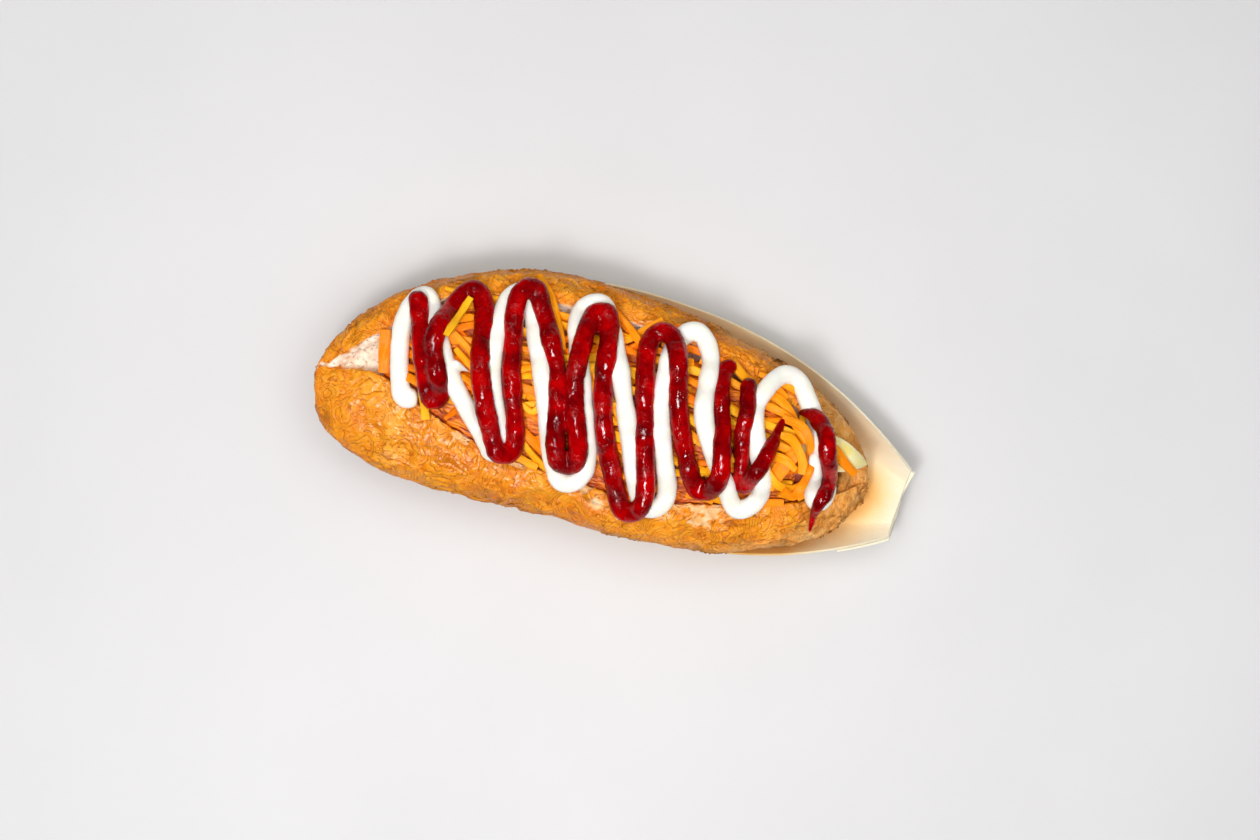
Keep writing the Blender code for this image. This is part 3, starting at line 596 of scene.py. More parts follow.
def even_line(points, step=1.0, count=None, weight=None):
    """The same line with its points a step apart, or a count of them, spread out where the weight is low."""
    lengths = np.linalg.norm(np.diff(points, axis=0), axis=1)
    if weight is not None:
        lengths = lengths * (weight[1:] + weight[:-1]) / 2
    measure = np.concatenate([[0], np.cumsum(lengths)])
    count = count or max(3, round(measure[-1] / step) + 1)
    places = np.linspace(0, measure[-1], count)
    return np.column_stack([np.interp(places, measure, column) for column in points.T])


def smooth_line(points, step, samples=12):
    """A smooth line through the given points."""
    points = np.asarray(points, float)
    ends = np.vstack([2 * points[0] - points[1], points, 2 * points[-1] - points[-2]])
    line = []
    for i in range(1, len(ends) - 2):
        a, b, c, d = ends[i - 1 : i + 3]
        for t in np.linspace(0, 1, samples, endpoint=False):
            bend = (2 * a - 5 * b + 4 * c - d) * t * t + (3 * b - a - 3 * c + d) * t**3
            line.append(0.5 * (2 * b + (c - a) * t + bend))
    line.append(points[-1])
    return even_line(np.array(line), step)


def zigzag(start, turns, end):
    """The plan points of a line that swings from side to side, and then follows the points of its end."""
    points = [start]
    for i, (x, y, half, *middle) in enumerate(turns):
        inward = -TURN_SHAPE * half * math.copysign(1, y)
        points += [(x - half, y + inward), (x, y), (x + half, y + inward)] if half else [(x, y)]
        points += [(run, (y + turns[i + 1][1]) / 2) for run in middle]
    return points + list(end)


def softened(values, passes):
    """A row of numbers, evened out along its length."""
    for _ in range(passes):
        values = np.convolve(np.pad(values, 1, mode="edge"), (0.25, 0.5, 0.25), "valid")
    return values


def bridged(values, passes):
    """A row of heights that a stiff shred takes: it spans the dips."""
    for _ in range(passes):
        values = np.maximum(values, softened(values, 1))
    return values


def add_mesh(name, points, faces, finish, slot, uvs=None, **values):
    """A smooth-shaded piece on the one body, with a value for each of its points under each given name."""
    mesh = bpy.data.meshes.new(name)
    mesh.from_pydata((np.asarray(points, float) / METRE).tolist(), [], faces)
    for key, numbers in values.items():
        numbers = np.asarray(numbers, float).ravel()
        mesh.attributes.new(key, "FLOAT", "POINT").data.foreach_set("value", numbers)
    if uvs is not None:
        layer = mesh.uv_layers.new(name="lengthwise")
        layer.data.foreach_set("uv", np.asarray(uvs, float).ravel())
    mesh.validate()
    mesh.shade_smooth()
    mesh.materials.append(finish)
    obj = bpy.data.objects.new(name, mesh)
    bpy.context.scene.collection.objects.link(obj)
    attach(obj, "root")
    return obj


def ring_faces(rings, count, start=0):
    """Quads between rings of points, each ring with the same count."""
    faces = []
    for i in range(rings - 1):
        here = start + i * count
        above = here + count
        for j in range(count):
            after = (j + 1) % count
            faces.append((here + j, here + after, above + after, above + j))
    return faces


def closed_faces(rings, count, start=0):
    """Ring faces with a cap at both ends."""
    first = tuple(range(start, start + count))
    last = tuple(range(start + (rings - 1) * count, start + rings * count))
    return [first[::-1], *ring_faces(rings, count, start), last]


def grid_normals(points):
    """Outward directions on a grid whose second way runs round the piece."""
    along = np.gradient(points, axis=0)
    around = np.roll(points, -1, axis=1) - np.roll(points, 1, axis=1)
    normals = np.cross(around, along)
    return normals / np.maximum(np.linalg.norm(normals, axis=-1, keepdims=True), 1e-9)


def sideways(line):
    """Level directions across a line, and the directions up from it."""
    ahead = np.gradient(line, axis=0)
    ahead /= np.maximum(np.linalg.norm(ahead, axis=1)[:, None], 1e-9)
    side = np.cross((0, 0, 1), ahead)
    side /= np.maximum(np.linalg.norm(side, axis=1)[:, None], 1e-9)
    return side, np.cross(ahead, side)


def swept(line, side, up, half_width, half_height, profile):
    """Rings of points along a line. The profile holds their shares of the half width and the half height."""
    across = half_width[:, None, None] * profile[0][None, :, None] * side[:, None]
    rise = half_height[:, None, None] * profile[1][None, :, None] * up[:, None]
    return (line[:, None] + across + rise).reshape(-1, 3)


def turned_out(obj):
    """The same piece, with all its faces pointing out."""
    shape = bmesh.new()
    shape.from_mesh(obj.data)
    bmesh.ops.recalc_face_normals(shape, faces=shape.faces)
    shape.to_mesh(obj.data)
    shape.free()
    return obj


# ---------------------------------------------------------------- finishes


class Wire:
    """The end of a node. Arithmetic on it adds Math nodes."""

    def __init__(self, finish, socket):
        self.finish = finish
        self.socket = socket

    def math(self, operation, *sockets):
        return self.finish.node("ShaderNodeMath", {"operation": operation}, dict(enumerate(sockets)))

    def __add__(self, other):
        return self.math("ADD", self, other)

    def __sub__(self, other):
        return self.math("SUBTRACT", self, other)

    def __rsub__(self, other):
        return self.math("SUBTRACT", other, self)

    def __mul__(self, other):
        return self.math("MULTIPLY", self, other)

    __radd__ = __add__
    __rmul__ = __mul__

    def fraction(self):
        return self.math("FRACT", self)

    def between(self, low, high, start=0.0, end=1.0):
        """The value taken smoothly from low..high to start..end."""
        sockets = {"Value": self, "From Min": low, "From Max": high, "To Min": start, "To Max": end}
        return self.finish.node("ShaderNodeMapRange", {"interpolation_type": "SMOOTHSTEP"}, sockets)


class Finish:
    """A material on a Principled BSDF."""

    def __init__(self, name, **constants):
        self.material = bpy.data.materials.new(name)
        self.material.use_nodes = True
        self.tree = self.material.node_tree
        self.surface = self.tree.nodes["Principled BSDF"]
        for socket, value in constants.items():
            self.surface.inputs[socket.replace("_", " ")].default_value = value
        self.where = self.node("ShaderNodeTexCoord", out="Object")

    def node(self, kind, settings=None, sockets=None, out=0):
        made = self.tree.nodes.new(kind)
        for key, value in (settings or {}).items():
            if key == "stops":
                self.fill_ramp(made.color_ramp.elements, value)
            else:
                setattr(made, key, value)
        for key, value in (sockets or {}).items():
            self.set(made.inputs[key], value)
        return Wire(self, made.outputs[out])

    def fill_ramp(self, elements, stops):
        while len(elements) < len(stops):
            elements.new(1.0)
        for element, (position, colour) in zip(elements, stops):
            element.position = position
            element.color = (*colour, 1)

    def set(self, socket, value):
        if isinstance(value, Wire):
            self.tree.links.new(value.socket, socket)
        elif isinstance(value, tuple) and socket.type == "RGBA":
            socket.default_value = (*value, 1)
        else:
            socket.default_value = value

    def varies(self, **wires):
        """Joins what changes over the surface to its sockets."""
        for socket, wire in wires.items():
            self.set(self.surface.inputs[socket.replace("_", " ")], wire)
        return self.material

    def stretched(self, where, scale, turn=0.0):
        settings = {"Vector": where, "Scale": scale, "Rotation": (0, 0, turn)}
        return self.node("ShaderNodeMapping", None, settings)

    def vector_math(self, operation, first, second):
        """Arithmetic on vectors. To scale one, the second value is a number."""
        second_socket = "Scale" if operation == "SCALE" else 1
        return self.node("ShaderNodeVectorMath", {"operation": operation}, {0: first, second_socket: second})

    def shaken(self, size, reach):
        """The place, moved about by noise, both in millimetres."""
        sockets = {"Vector": self.where, "Scale": METRE / size}
        wobble = self.node("ShaderNodeTexNoise", None, sockets, out="Color")
        move = self.vector_math("SCALE", self.vector_math("SUBTRACT", wobble, (0.5, 0.5, 0.5)), reach / METRE)
        return self.vector_math("ADD", self.where, move)

    def clouds(self, size, detail=3.0, roughness=0.55, where=None):
        """Noise round 0.5, with lumps of that size in millimetres."""
        sockets = {"Vector": where or self.where, "Scale": METRE / size}
        return self.node("ShaderNodeTexNoise", None, {**sockets, "Detail": detail, "Roughness": roughness})

    def cells(self, size, where):
        """Distance from the middle of cells of that size in millimetres."""
        return self.node("ShaderNodeTexVoronoi", None, {"Vector": where, "Scale": METRE / size})

    def lengthwise(self):
        """The place along and across the grain, in millimetres."""
        return self.node("ShaderNodeUVMap", {"uv_map": "lengthwise"})

    def value(self, name):
        return self.node("ShaderNodeAttribute", {"attribute_name": name}, out="Fac")

    def ramp(self, factor, *stops):
        return self.node("ShaderNodeValToRGB", {"stops": stops}, {"Fac": factor})

    def mix(self, factor, first, second):
        """A colour between two."""
        return self.node("ShaderNodeMix", {"data_type": "RGBA"}, {0: factor, 6: first, 7: second}, out=2)

    def bump(self, height):
        """A normal from a height in millimetres."""
        return self.node("ShaderNodeBump", None, {"Height": height, "Distance": 1 / METRE, "Strength": 1.0})


def crust_and_crumb():
    """Glazed golden crust with families of fine curved wrinkles, each with a painted highlight on its crest
    and painted shade at its foot, painted shade in the folds and cracks, and pale crumb where the roll is
    cut, with painted shade in its pores.
    """
    f = Finish("crust_and_crumb", Specular_IOR_Level=0.12, Coat_Roughness=0.2)
    folds, tan, crumb, torn = f.value("fold"), f.value("tan"), f.value("crumb"), f.value("torn")
    tone, blotch, speck = f.clouds(17, 4.0, 0.6), f.clouds(4.5, 4.0, 0.62), f.clouds(0.9, 3.0, 0.6)
    swell = f.clouds(13, 0.0, 0.4, f.shaken(7, 5.0)) * 19.0 + blotch * 1.5
    ripple = f.clouds(7.5, 0.0, 0.4, f.shaken(4, 3.0)) * 12.0 + blotch * 1.5
    shelf, small_shelf = swell.fraction(), ripple.fraction()
    patch = f.clouds(9, 2.0).between(0.42, 0.56)
    elsewhere = 1.0 - patch
    # painted shade at the foot of each wrinkle's step, where the bump falls away
    line = shelf.between(0.40, 0.0) * patch + small_shelf.between(0.44, 0.0) * elsewhere
    line = line * f.clouds(3.2, 2.0).between(0.36, 0.54, 0.15) * (1.0 - tan * 0.6)
    # painted highlight on each wrinkle's crest
    edge = shelf.between(0.55, 1.0) * patch + small_shelf.between(0.55, 1.0) * elsewhere
    golden = f.ramp(
        tone * 0.45 + blotch * 0.55,
        (0.30, (0.65, 0.134, 0.002)),
        (0.42, (0.80, 0.218, 0.003)),
        (0.53, (0.88, 0.300, 0.007)),
        (0.68, (0.94, 0.415, 0.036)),
    )
    pale = f.ramp(
        blotch,
        (0.30, (0.66, 0.235, 0.036)),
        (0.50, (0.82, 0.360, 0.080)),
        (0.68, (0.94, 0.540, 0.200)),
    )
    colour = f.mix(tan, golden, pale)
    colour = f.mix(edge * 0.30, colour, (0.95, 0.50, 0.11))
    colour = f.mix(line * 0.80, colour, (0.38, 0.078, 0.002))
    # painted shade in the folds and cracks; the flakes' raised edges are darker too
    colour = f.mix(folds.between(0.15, 0.9, 0.0, 0.66), colour, (0.28, 0.060, 0.004))
    colour = f.mix(speck.between(0.62, 0.70, 0.0, 0.4), colour, (0.30, 0.08, 0.006))
    bare = f.ramp(blotch, (0.38, (0.88, 0.42, 0.11)), (0.62, (0.97, 0.76, 0.47)))
    colour = f.mix(torn * 0.80, colour, bare)
    pores = f.cells(1.5, f.shaken(3.5, 2.4)).between(0.08, 0.42, 1.0, 0.0)
    inside = f.ramp(
        f.clouds(3.0),
        (0.35, (0.80, 0.58, 0.42)),
        (0.55, (0.92, 0.77, 0.61)),
        (0.70, (0.97, 0.88, 0.75)),
    )
    # painted shade in the crumb's pores
    colour = f.mix(crumb, colour, f.mix(pores * 0.35, inside, (0.62, 0.38, 0.25)))
    bread = 1.0 - crumb
    height = (
        shelf * patch * bread * 0.40
        + small_shelf * elsewhere * bread * 0.30
        + blotch * 0.5
        + speck * 0.08
        + pores * crumb * -0.4
        + f.clouds(0.6, 2.0) * (crumb + torn) * 0.25
    )
    return f.varies(
        Base_Color=colour,
        Roughness=f.clouds(6.0, 3.0) * 0.30 + 0.28 + crumb * 0.4 + tan * 0.15,
        Coat_Weight=bread * (1.0 - tan * 0.8) * (1.0 - torn) * (1.0 - line) * 0.15,
        Normal=f.bump(height),
    )


def sausage_skin():
    """Red-brown cooked skin, seared here and there."""
    f = Finish(
        "sausage_skin",
        Coat_Weight=0.3,
        Coat_Roughness=0.15,
        Subsurface_Weight=0.08,
        Subsurface_Radius=(1.0, 0.25, 0.12),
        Subsurface_Scale=0.002,
    )
    tone, fine = f.clouds(7, 4.0, 0.6), f.clouds(1.1, 3.0)
    colour = f.ramp(
        tone,
        (0.34, (0.12, 0.018, 0.010)),
        (0.50, (0.30, 0.055, 0.025)),
        (0.66, (0.52, 0.15, 0.075)),
    )
    seared = f.cells(5.0, f.shaken(4, 3)).between(0.1, 0.3, 1.0, 0.0)
    colour = f.mix(seared * 0.4, colour, (0.09, 0.014, 0.008))
    return f.varies(Base_Color=colour, Roughness=fine * 0.2 + 0.22, Normal=f.bump(fine * 0.12 + tone * 0.3))


def carrot_flesh():
    """Raw carrot: fine fibres along each shred, and shreds that differ in tone."""
    f = Finish(
        "carrot_flesh",
        Specular_IOR_Level=0.1,
        Subsurface_Weight=0.05,
        Subsurface_Radius=(1.0, 0.35, 0.05),
        Subsurface_Scale=0.0015,
    )
    lengthwise = f.lengthwise()
    fibres = f.clouds(METRE, 3.0, 0.6, f.stretched(lengthwise, (0.22, 2.2, 1.0)))
    rings = f.clouds(METRE, 2.0, 0.5, f.stretched(lengthwise, (0.35, 0.4, 1.0)))
    colour = f.ramp(
        f.value("tone") * 0.75 + rings * 0.30,
        (0.12, (0.92, 0.165, 0.001)),
        (0.38, (0.98, 0.250, 0.002)),
        (0.62, (1.00, 0.355, 0.004)),
        (0.92, (1.00, 0.490, 0.012)),
    )
    colour = f.mix(fibres.between(0.50, 0.72, 0.0, 0.4), colour, (1.0, 0.56, 0.05))
    colour = f.mix(fibres.between(0.44, 0.28, 0.0, 0.4), colour, (0.80, 0.13, 0.003))
    height = fibres * 0.22 + rings * 0.1
    return f.varies(Base_Color=colour, Roughness=fibres * 0.25 + 0.33, Normal=f.bump(height))


def deep_carrot():
    """What shows between the shreds: more carrot, with painted shade between its strands for the heap's dark
    depth.
    """
    f = Finish("deep_carrot", Roughness=0.55)
    strands = f.clouds(1.5, 2.0, 0.5, f.stretched(f.shaken(9, 5.0), (0.16, 1.0, 1.0), 0.12))
    # the low stop is painted shade between the strands
    colour = f.ramp(
        strands,
        (0.38, (0.42, 0.055, 0.002)),
        (0.50, (0.86, 0.180, 0.003)),
        (0.62, (0.98, 0.320, 0.006)),
    )
    return f.varies(Base_Color=colour, Normal=f.bump(strands * 2.4))


def ketchup_sauce():
    """Deep red sauce, wet and smooth, with fine pulp that breaks up its shine here and there."""
    f = Finish(
        "ketchup_sauce",
        Specular_IOR_Level=0.12,
        Coat_Weight=0.42,
        Coat_Roughness=0.03,
        Coat_IOR=1.27,
    )
    pulp, fine, depth = f.clouds(1.3, 3.0, 0.65), f.clouds(0.5, 2.0, 0.6), f.clouds(8, 2.0)
    colour = f.ramp(
        depth * 0.8 + pulp * 0.2,
        (0.36, (0.13, 0.0001, 0.0012)),
        (0.50, (0.27, 0.0001, 0.0010)),
        (0.64, (0.46, 0.0002, 0.0008)),
    )
    colour = f.mix(fine.between(0.60, 0.74, 0.0, 0.3), colour, (0.55, 0.002, 0.002))
    grain = f.clouds(5, 2.0).between(0.46, 0.60)
    height = pulp * grain * 0.55 + fine * 0.05
    return f.varies(Base_Color=colour, Roughness=grain * 0.10 + 0.07, Normal=f.bump(height))


def mayonnaise_sauce():
    """Warm white and satin, with light that sinks in a little."""
    f = Finish(
        "mayonnaise_sauce",
        Specular_IOR_Level=0.4,
        Coat_Weight=0.2,
        Coat_Roughness=0.18,
        Subsurface_Weight=0.35,
        Subsurface_Radius=(1.0, 0.75, 0.40),
        Subsurface_Scale=0.0022,
    )
    swirl = f.clouds(8, 2.0)
    colour = f.ramp(swirl, (0.35, (0.93, 0.885, 0.77)), (0.6, (0.97, 0.945, 0.87)))
    height = f.clouds(3.0, 2.0) * 0.12
    return f.varies(Base_Color=colour, Roughness=swirl * 0.2 + 0.22, Normal=f.bump(height))


def pickle_flesh():
    """Wet pale flesh, clearer and greyer towards the tip, with a lighter rind."""
    f = Finish(
        "pickle_flesh",
        Coat_Weight=0.5,
        Coat_Roughness=0.05,
        Subsurface_Weight=0.25,
        Subsurface_Radius=(1.0, 0.9, 0.35),
        Subsurface_Scale=0.0025,
    )
    rind, tip, veins = f.value("rind"), f.value("tip"), f.clouds(5, 2.0)
    flesh = f.ramp(veins, (0.35, (0.93, 0.74, 0.22)), (0.55, (0.97, 0.84, 0.36)), (0.7, (0.99, 0.91, 0.54)))
    colour = f.mix(tip * 0.7, flesh, (0.62, 0.56, 0.28))
    colour = f.mix(rind * 0.8, colour, (0.96, 0.88, 0.55))
    return f.varies(Base_Color=colour, Roughness=veins * 0.2 + 0.12, Normal=f.bump(veins * 0.2))


def pine_veneer():
    """Thin pale pine: faint straight grain along the boat, and painted warm bounce light and shade beside the
    food that lies on it.
    """
    f = Finish(
        "pine_veneer",
        Specular_IOR_Level=0.3,
        Subsurface_Weight=0.15,
        Subsurface_Radius=(1.0, 0.62, 0.28),
        Subsurface_Scale=0.003,
    )
    lengthwise = f.lengthwise()
    late_wood = f.clouds(METRE, 2.0, 0.5, f.stretched(lengthwise, (0.010, 0.16, 1.0)))
    grain = f.clouds(METRE, 4.0, 0.65, f.stretched(lengthwise, (0.05, 1.9, 1.0)))
    pores = f.clouds(METRE, 2.0, 0.5, f.stretched(lengthwise, (0.16, 3.4, 1.0)))
    colour = f.ramp(
        late_wood * 0.7 + grain * 0.3,
        (0.34, (1.00, 0.88, 0.64)),
        (0.50, (1.00, 0.92, 0.71)),
        (0.66, (1.00, 0.95, 0.78)),
    )
    colour = f.mix(pores.between(0.64, 0.76, 0.0, 0.16), colour, (0.72, 0.50, 0.25))
    # painted warm bounce light from the roll, and painted shade that deepens to orange nearest to it
    stain = f.value("stain") * (f.clouds(9, 3.0) * 0.5 + 0.75)
    colour = f.mix(stain.between(0.0, 0.7), colour, (1.00, 0.72, 0.34))
    colour = f.mix(stain.between(0.45, 1.0), colour, (0.95, 0.50, 0.12))
    height = grain * 0.07 + pores * -0.06
    return f.varies(Base_Color=colour, Roughness=grain * 0.2 + 0.40, Normal=f.bump(height))


# ---------------------------------------------------------------- the roll


def shoulder(lip, edge, top, widest, turn):
    """The crust from a lip over to the widest line on that side."""
    out, down = SHOULDER_ROUNDING
    sin, cos = np.sin(turn), np.maximum(np.cos(turn), 0)
    return np.column_stack([lip + (edge - lip) * sin**out, widest + (top - widest) * cos**down])


def outer_ring(x, fine=220):
    """The roll's crust across its length at x, from the far lip round below to the near lip."""
    half, bend = ROLL_HALF_WIDTH * roll_fullness(x), roll_bend(x)
    top, bottom = roll_top(x), roll_bottom(x)
    near, far = slit_lips(x)
    widest = bottom + ROLL_WIDEST * (top - bottom)
    turn = np.linspace(0, math.pi / 2, fine)
    far_side = shoulder(far, bend + half, top, widest, turn)
    near_side = shoulder(near, bend - half, top, widest, turn)
    turn = np.linspace(0, math.pi, 2 * fine)
    sin, cos = np.maximum(np.sin(turn), 0), np.cos(turn)
    out, down = BELLY_ROUNDING
    belly_y = bend + half * np.copysign(np.abs(cos) ** out, cos)
    belly = np.column_stack([belly_y, widest - (widest - bottom) * sin**down])
    return np.vstack([far_side, belly[1:-1], near_side[::-1]])


def roll_places(fine=1500):
    """Places along the roll, evenly far apart as measured on its skin."""
    x = ROLL_LEFT + (ROLL_RIGHT - ROLL_LEFT) * (1 - np.cos(np.linspace(0, math.pi, fine))) / 2
    profile = np.column_stack([x, ROLL_HALF_WIDTH * roll_fullness(x)])
    return even_line(profile, CRUST_STEP * 1.02)[1:-1, 0]


def roll_ring(x, fine=160):
    """The roll's points across its length at x: the crust's first, and then the slit's."""
    ring = outer_ring(x)
    seen = UNSEEN_WEIGHT + (1 - UNSEEN_WEIGHT) * ease((ring[:, 1] - SEEN_ABOVE) / SEEN_RUN)
    ring = even_line(ring, count=CRUST_POINTS, weight=seen)
    parts = np.linspace(0, 1, fine)
    near_lips = np.maximum(np.abs(2 * parts - 1) ** 3, SLIT_EDGE_WEIGHT)
    slit = np.column_stack(slit_point(x, parts))
    slit = even_line(slit, count=SLIT_POINTS + 2, weight=near_lips)[1:-1]
    return np.column_stack([np.full(len(ring) + len(slit), x), np.vstack([ring, slit])])


def lumped(points, is_crust):
    """The points moved out from the roll's middle line by broad lumps, on the crust alone."""
    x = points[..., 0]
    centre = np.stack([x, roll_bend(x), (roll_top(x) + roll_bottom(x)) / 2], axis=-1)
    out = points - centre
    length = np.maximum(np.linalg.norm(out, axis=-1), 1e-6)
    lumps = field(points, LUMP) + SMALL_LUMP_SHARE * field(points, SMALL_LUMP, (5.0, 0, 0))
    push = LUMP_HEIGHT * lumps * np.minimum(length / LUMP_FREE_CORE, 1) * is_crust
    return points + out * (push / length)[..., None]


def make_roll(finish):
    """Crust and slit walls in one skin. Its points stand close where it shows and far apart underneath."""
    points = np.array([roll_ring(x) for x in roll_places()])
    x = points[..., 0]
    is_crust = np.arange(points.shape[1]) < CRUST_POINTS
    closed = ease((x - CLOSED_END + CLOSED_RUN) / CLOSED_RUN)
    filled = np.minimum(roll_top(x) - CLOSED_DEPTH - SLIT_DEPTH * (1 - closed), points[:, :1, 2])
    points[..., 2] = np.where(is_crust, points[..., 2], np.maximum(points[..., 2], filled))
    points = lumped(points, is_crust)
    height, values = bread_relief(points, is_crust)
    points = points + grid_normals(points) * height[..., None]
    lowest = boat_clearance(points[..., 0], points[..., 1])
    points[..., 2] = np.where(is_crust, np.maximum(points[..., 2], lowest), points[..., 2])
    rings, count = points.shape[:2]
    left, right, last = rings * count, rings * count + 1, (rings - 1) * count
    faces = ring_faces(rings, count)
    faces += [(j, left, (j + 1) % count) for j in range(count)]
    faces += [(last + j, last + (j + 1) % count, right) for j in range(count)]
    tips = [(end, float(roll_bend(end)), float(roll_tip_height(end))) for end in (ROLL_LEFT, ROLL_RIGHT)]
    points = np.vstack([points.reshape(-1, 3), tips])
    values = {key: np.append(numbers.ravel(), (0, 0)) for key, numbers in values.items()}
    roll = add_mesh("roll_crust", points, faces, finish, "bread", **values)
    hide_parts("roll")
    return turned_out(roll)


def fold_lines(points):
    """The crust's long folds and the small ones between them, from 0 to 1."""
    flow = warped(points, 14, 9.0)
    long_folds = crease(field(flow, 7.5, 2.0), 0.05) * patches(points, 21, 4.0, 2.2, 0.6)
    small_folds = crease(field(flow, 3.6, 11.0), 0.10) * patches(points, 12, 8.0, 2.0, 0.8)
    return long_folds, small_folds


def crack_lines(points):
    """Cracks that run along the roll, towards its right end and along its far side."""
    stretch = np.array((0.30, 1.5, 1.5))
    tear = field(warped(points, 6, 2.0, 3.0) * stretch, 4.2, 31.0)
    where = ease((points[..., 0] - 18) / 30) * 0.9 + ease((points[..., 1] - 22) / 10) * 0.55
    return crease(tear, 0.045) * ease(where) * patches(points, 13, 17.0, 2.5, 0.45)


def flakes(points):
    """Thin flakes of crust that rise to a sharp edge, more of them along the far side."""
    step = field(warped(points, 9, 3.0, 9.0), 9.5, 21.0) * 3.0
    amount = 0.65 + 0.5 * ease((points[..., 1] - 15) / 15)
    return (step - np.floor(step)) ** 3 * patches(points, 15, 5.0, 2.0, amount)


def pale_share(points):
    """Where the crust is pale: low on the right half, and over most of the right end."""
    x, z = points[..., 0], points[..., 2]
    wander = field(points, 11, 25.0)
    low = ease((x - 15 + 30 * wander) / 40) * ease((39 + 5 * wander - z) / 9)
    return np.maximum(low, 0.75 * ease((x - 62 + 20 * wander) / 25))


def cut_share(points):
    """Where the slit's wall shows cut crumb: from just inside the lips on, but not at the closed end."""
    x, y = points[..., 0], points[..., 1]
    near, far = slit_lips(x)
    from_lip = np.minimum(np.abs(y - near), np.abs(y - far)) + 1.3 * field(points, 3.5, 12.0)
    return ease((from_lip + 0.2) / 1.2) * ease((80 - x) / 5)


def torn_patches(points):
    """The lumpy zone round the torn spots, and the bare crumb inside it."""
    x, y, z = points[..., 0], points[..., 1], points[..., 2]
    spots = [1 - np.hypot((x - at_x) * 0.8, y - at_y) / reach for at_x, at_y, reach in TORN_SPOTS]
    nearest = np.maximum.reduce(spots)
    zone = ease(nearest * 1.5 + 0.8) * ease((z - 20) / 6)
    ragged = field(points * (0.7, 1.2, 1.0), 2.8, 33.0) + 0.5 * field(points, 1.2, 34.0)
    return zone, ease((nearest + 1.1 * ragged - 0.15) * 3.0) * zone


def bread_relief(points, is_crust):
    """Height of the bread's relief, how pale, cut and torn the bread is, and how folded it is, which paints
    shade into its folds and cracks.
    """
    long_folds, small_folds = fold_lines(points)
    cracks, flake = crack_lines(points), flakes(points)
    torn_zone, torn = torn_patches(points)
    crust = layers(points, DENTS) + FLAKE_HEIGHT * flake - LONG_FOLD_DEPTH * long_folds
    crust = crust - SMALL_FOLD_DEPTH * small_folds - CRACK_DEPTH * cracks
    crust = crust + (torn_zone * layers(points, TORN_LUMPS) + TORN_RISE * torn)
    height = np.where(is_crust, crust, layers(points, CRUMB_LUMPS))
    # painted shade in the folds and cracks; the flakes' raised edges are darkened too
    folded = np.maximum.reduce([0.75 * long_folds, 0.42 * small_folds, cracks, 0.5 * flake**2])
    values = {
        "fold": np.where(is_crust, folded * (1 - torn), 0),
        "tan": pale_share(points),
        "crumb": np.where(is_crust, 0, cut_share(points)),
        "torn": np.where(is_crust, torn, 0),
    }
    return height, values


# ---------------------------------------------------------------- the boat


def boat_inner(along, share):
    """Points of the boat's inner face, and how far across it they are. A share is 1 at the rim."""
    across = boat_half_width(along) * np.copysign(np.abs(share) ** BOAT_FOLD_SPACING, share)
    x, y = boat_to_row(along, across)
    return np.stack([x, y, boat_inside_height(along, across)], axis=-1), across


def veneer_sheet(alongs, shares, top, bottom, step=0.01):
    """Points, faces and grain places of a closed sheet. Top and bottom are depths below the inner face."""
    along = np.repeat(np.asarray(alongs)[:, None], shares.shape[1], axis=1)
    here, across = boat_inner(along, shares)
    lengthwise = boat_inner(along + step, shares)[0] - boat_inner(along - step, shares)[0]
    crosswise = boat_inner(along, shares + step)[0] - boat_inner(along, shares - step)[0]
    out = np.cross(lengthwise, crosswise)
    out /= np.linalg.norm(out, axis=-1, keepdims=True)
    ripple = VENEER_RIPPLE * field(here, 17, 40.0)[..., None]
    rings = np.concatenate([here - (top + ripple) * out, (here - (bottom + ripple) * out)[:, ::-1]], axis=1)
    rings[..., 2] = np.maximum(rings[..., 2], 0)
    places = np.stack([along, across], axis=-1)
    places = np.concatenate([places, places[:, ::-1] + (0, 300)], axis=1)
    return rings.reshape(-1, 3), closed_faces(len(alongs), rings.shape[1]), places.reshape(-1, 2)


def lap_sheet(end, side, depth):
    """One of the two laps folded over each other at an end. The upper one has a tab."""
    runs = np.linspace(LAP_START, TAB if side * end > 0 else 0.998, 40)
    reach = -LAP_REACH - LAP_SLANT * (LAP_FULL - runs)
    tab = LAP_EDGE - TAB_WIDTH * (TAB - runs) / (TAB - TAB_START)
    reach = np.where(runs > TAB_START, tab, reach)
    rows = np.array([side * np.linspace(LAP_EDGE, last, 30) for last in reach])
    alongs = end * runs * (BOAT_LENGTH / 2)
    return veneer_sheet(alongs, rows, depth - LAP_SINK, depth - LAP_SINK + LAP_THICKNESS)


def veneer_stain(x, y):
    """How much painted warm bounce light and shade the veneer takes from the roll: most beside the roll, and
    less along the boat's far side.
    """
    beside = np.abs(y - roll_bend(x)) - ROLL_HALF_WIDTH * roll_fullness(x)
    beyond = np.hypot(np.maximum(x - ROLL_RIGHT + ROLL_TIP_REACH, 0), y - roll_bend(x)) - ROLL_TIP_REACH
    at_tip = ease((x - ROLL_RIGHT + 2 * ROLL_TIP_REACH) / (2 * ROLL_TIP_REACH))
    from_roll = beside + (beyond - beside) * at_tip
    stain = 1 - ease((from_roll - STAIN_START) / STAIN_REACH)
    near_side = ease((FAR_SIDE_START + FAR_SIDE_RUN - y) / FAR_SIDE_RUN)
    return stain * (FAR_SIDE_STAIN + (1 - FAR_SIDE_STAIN) * near_side)


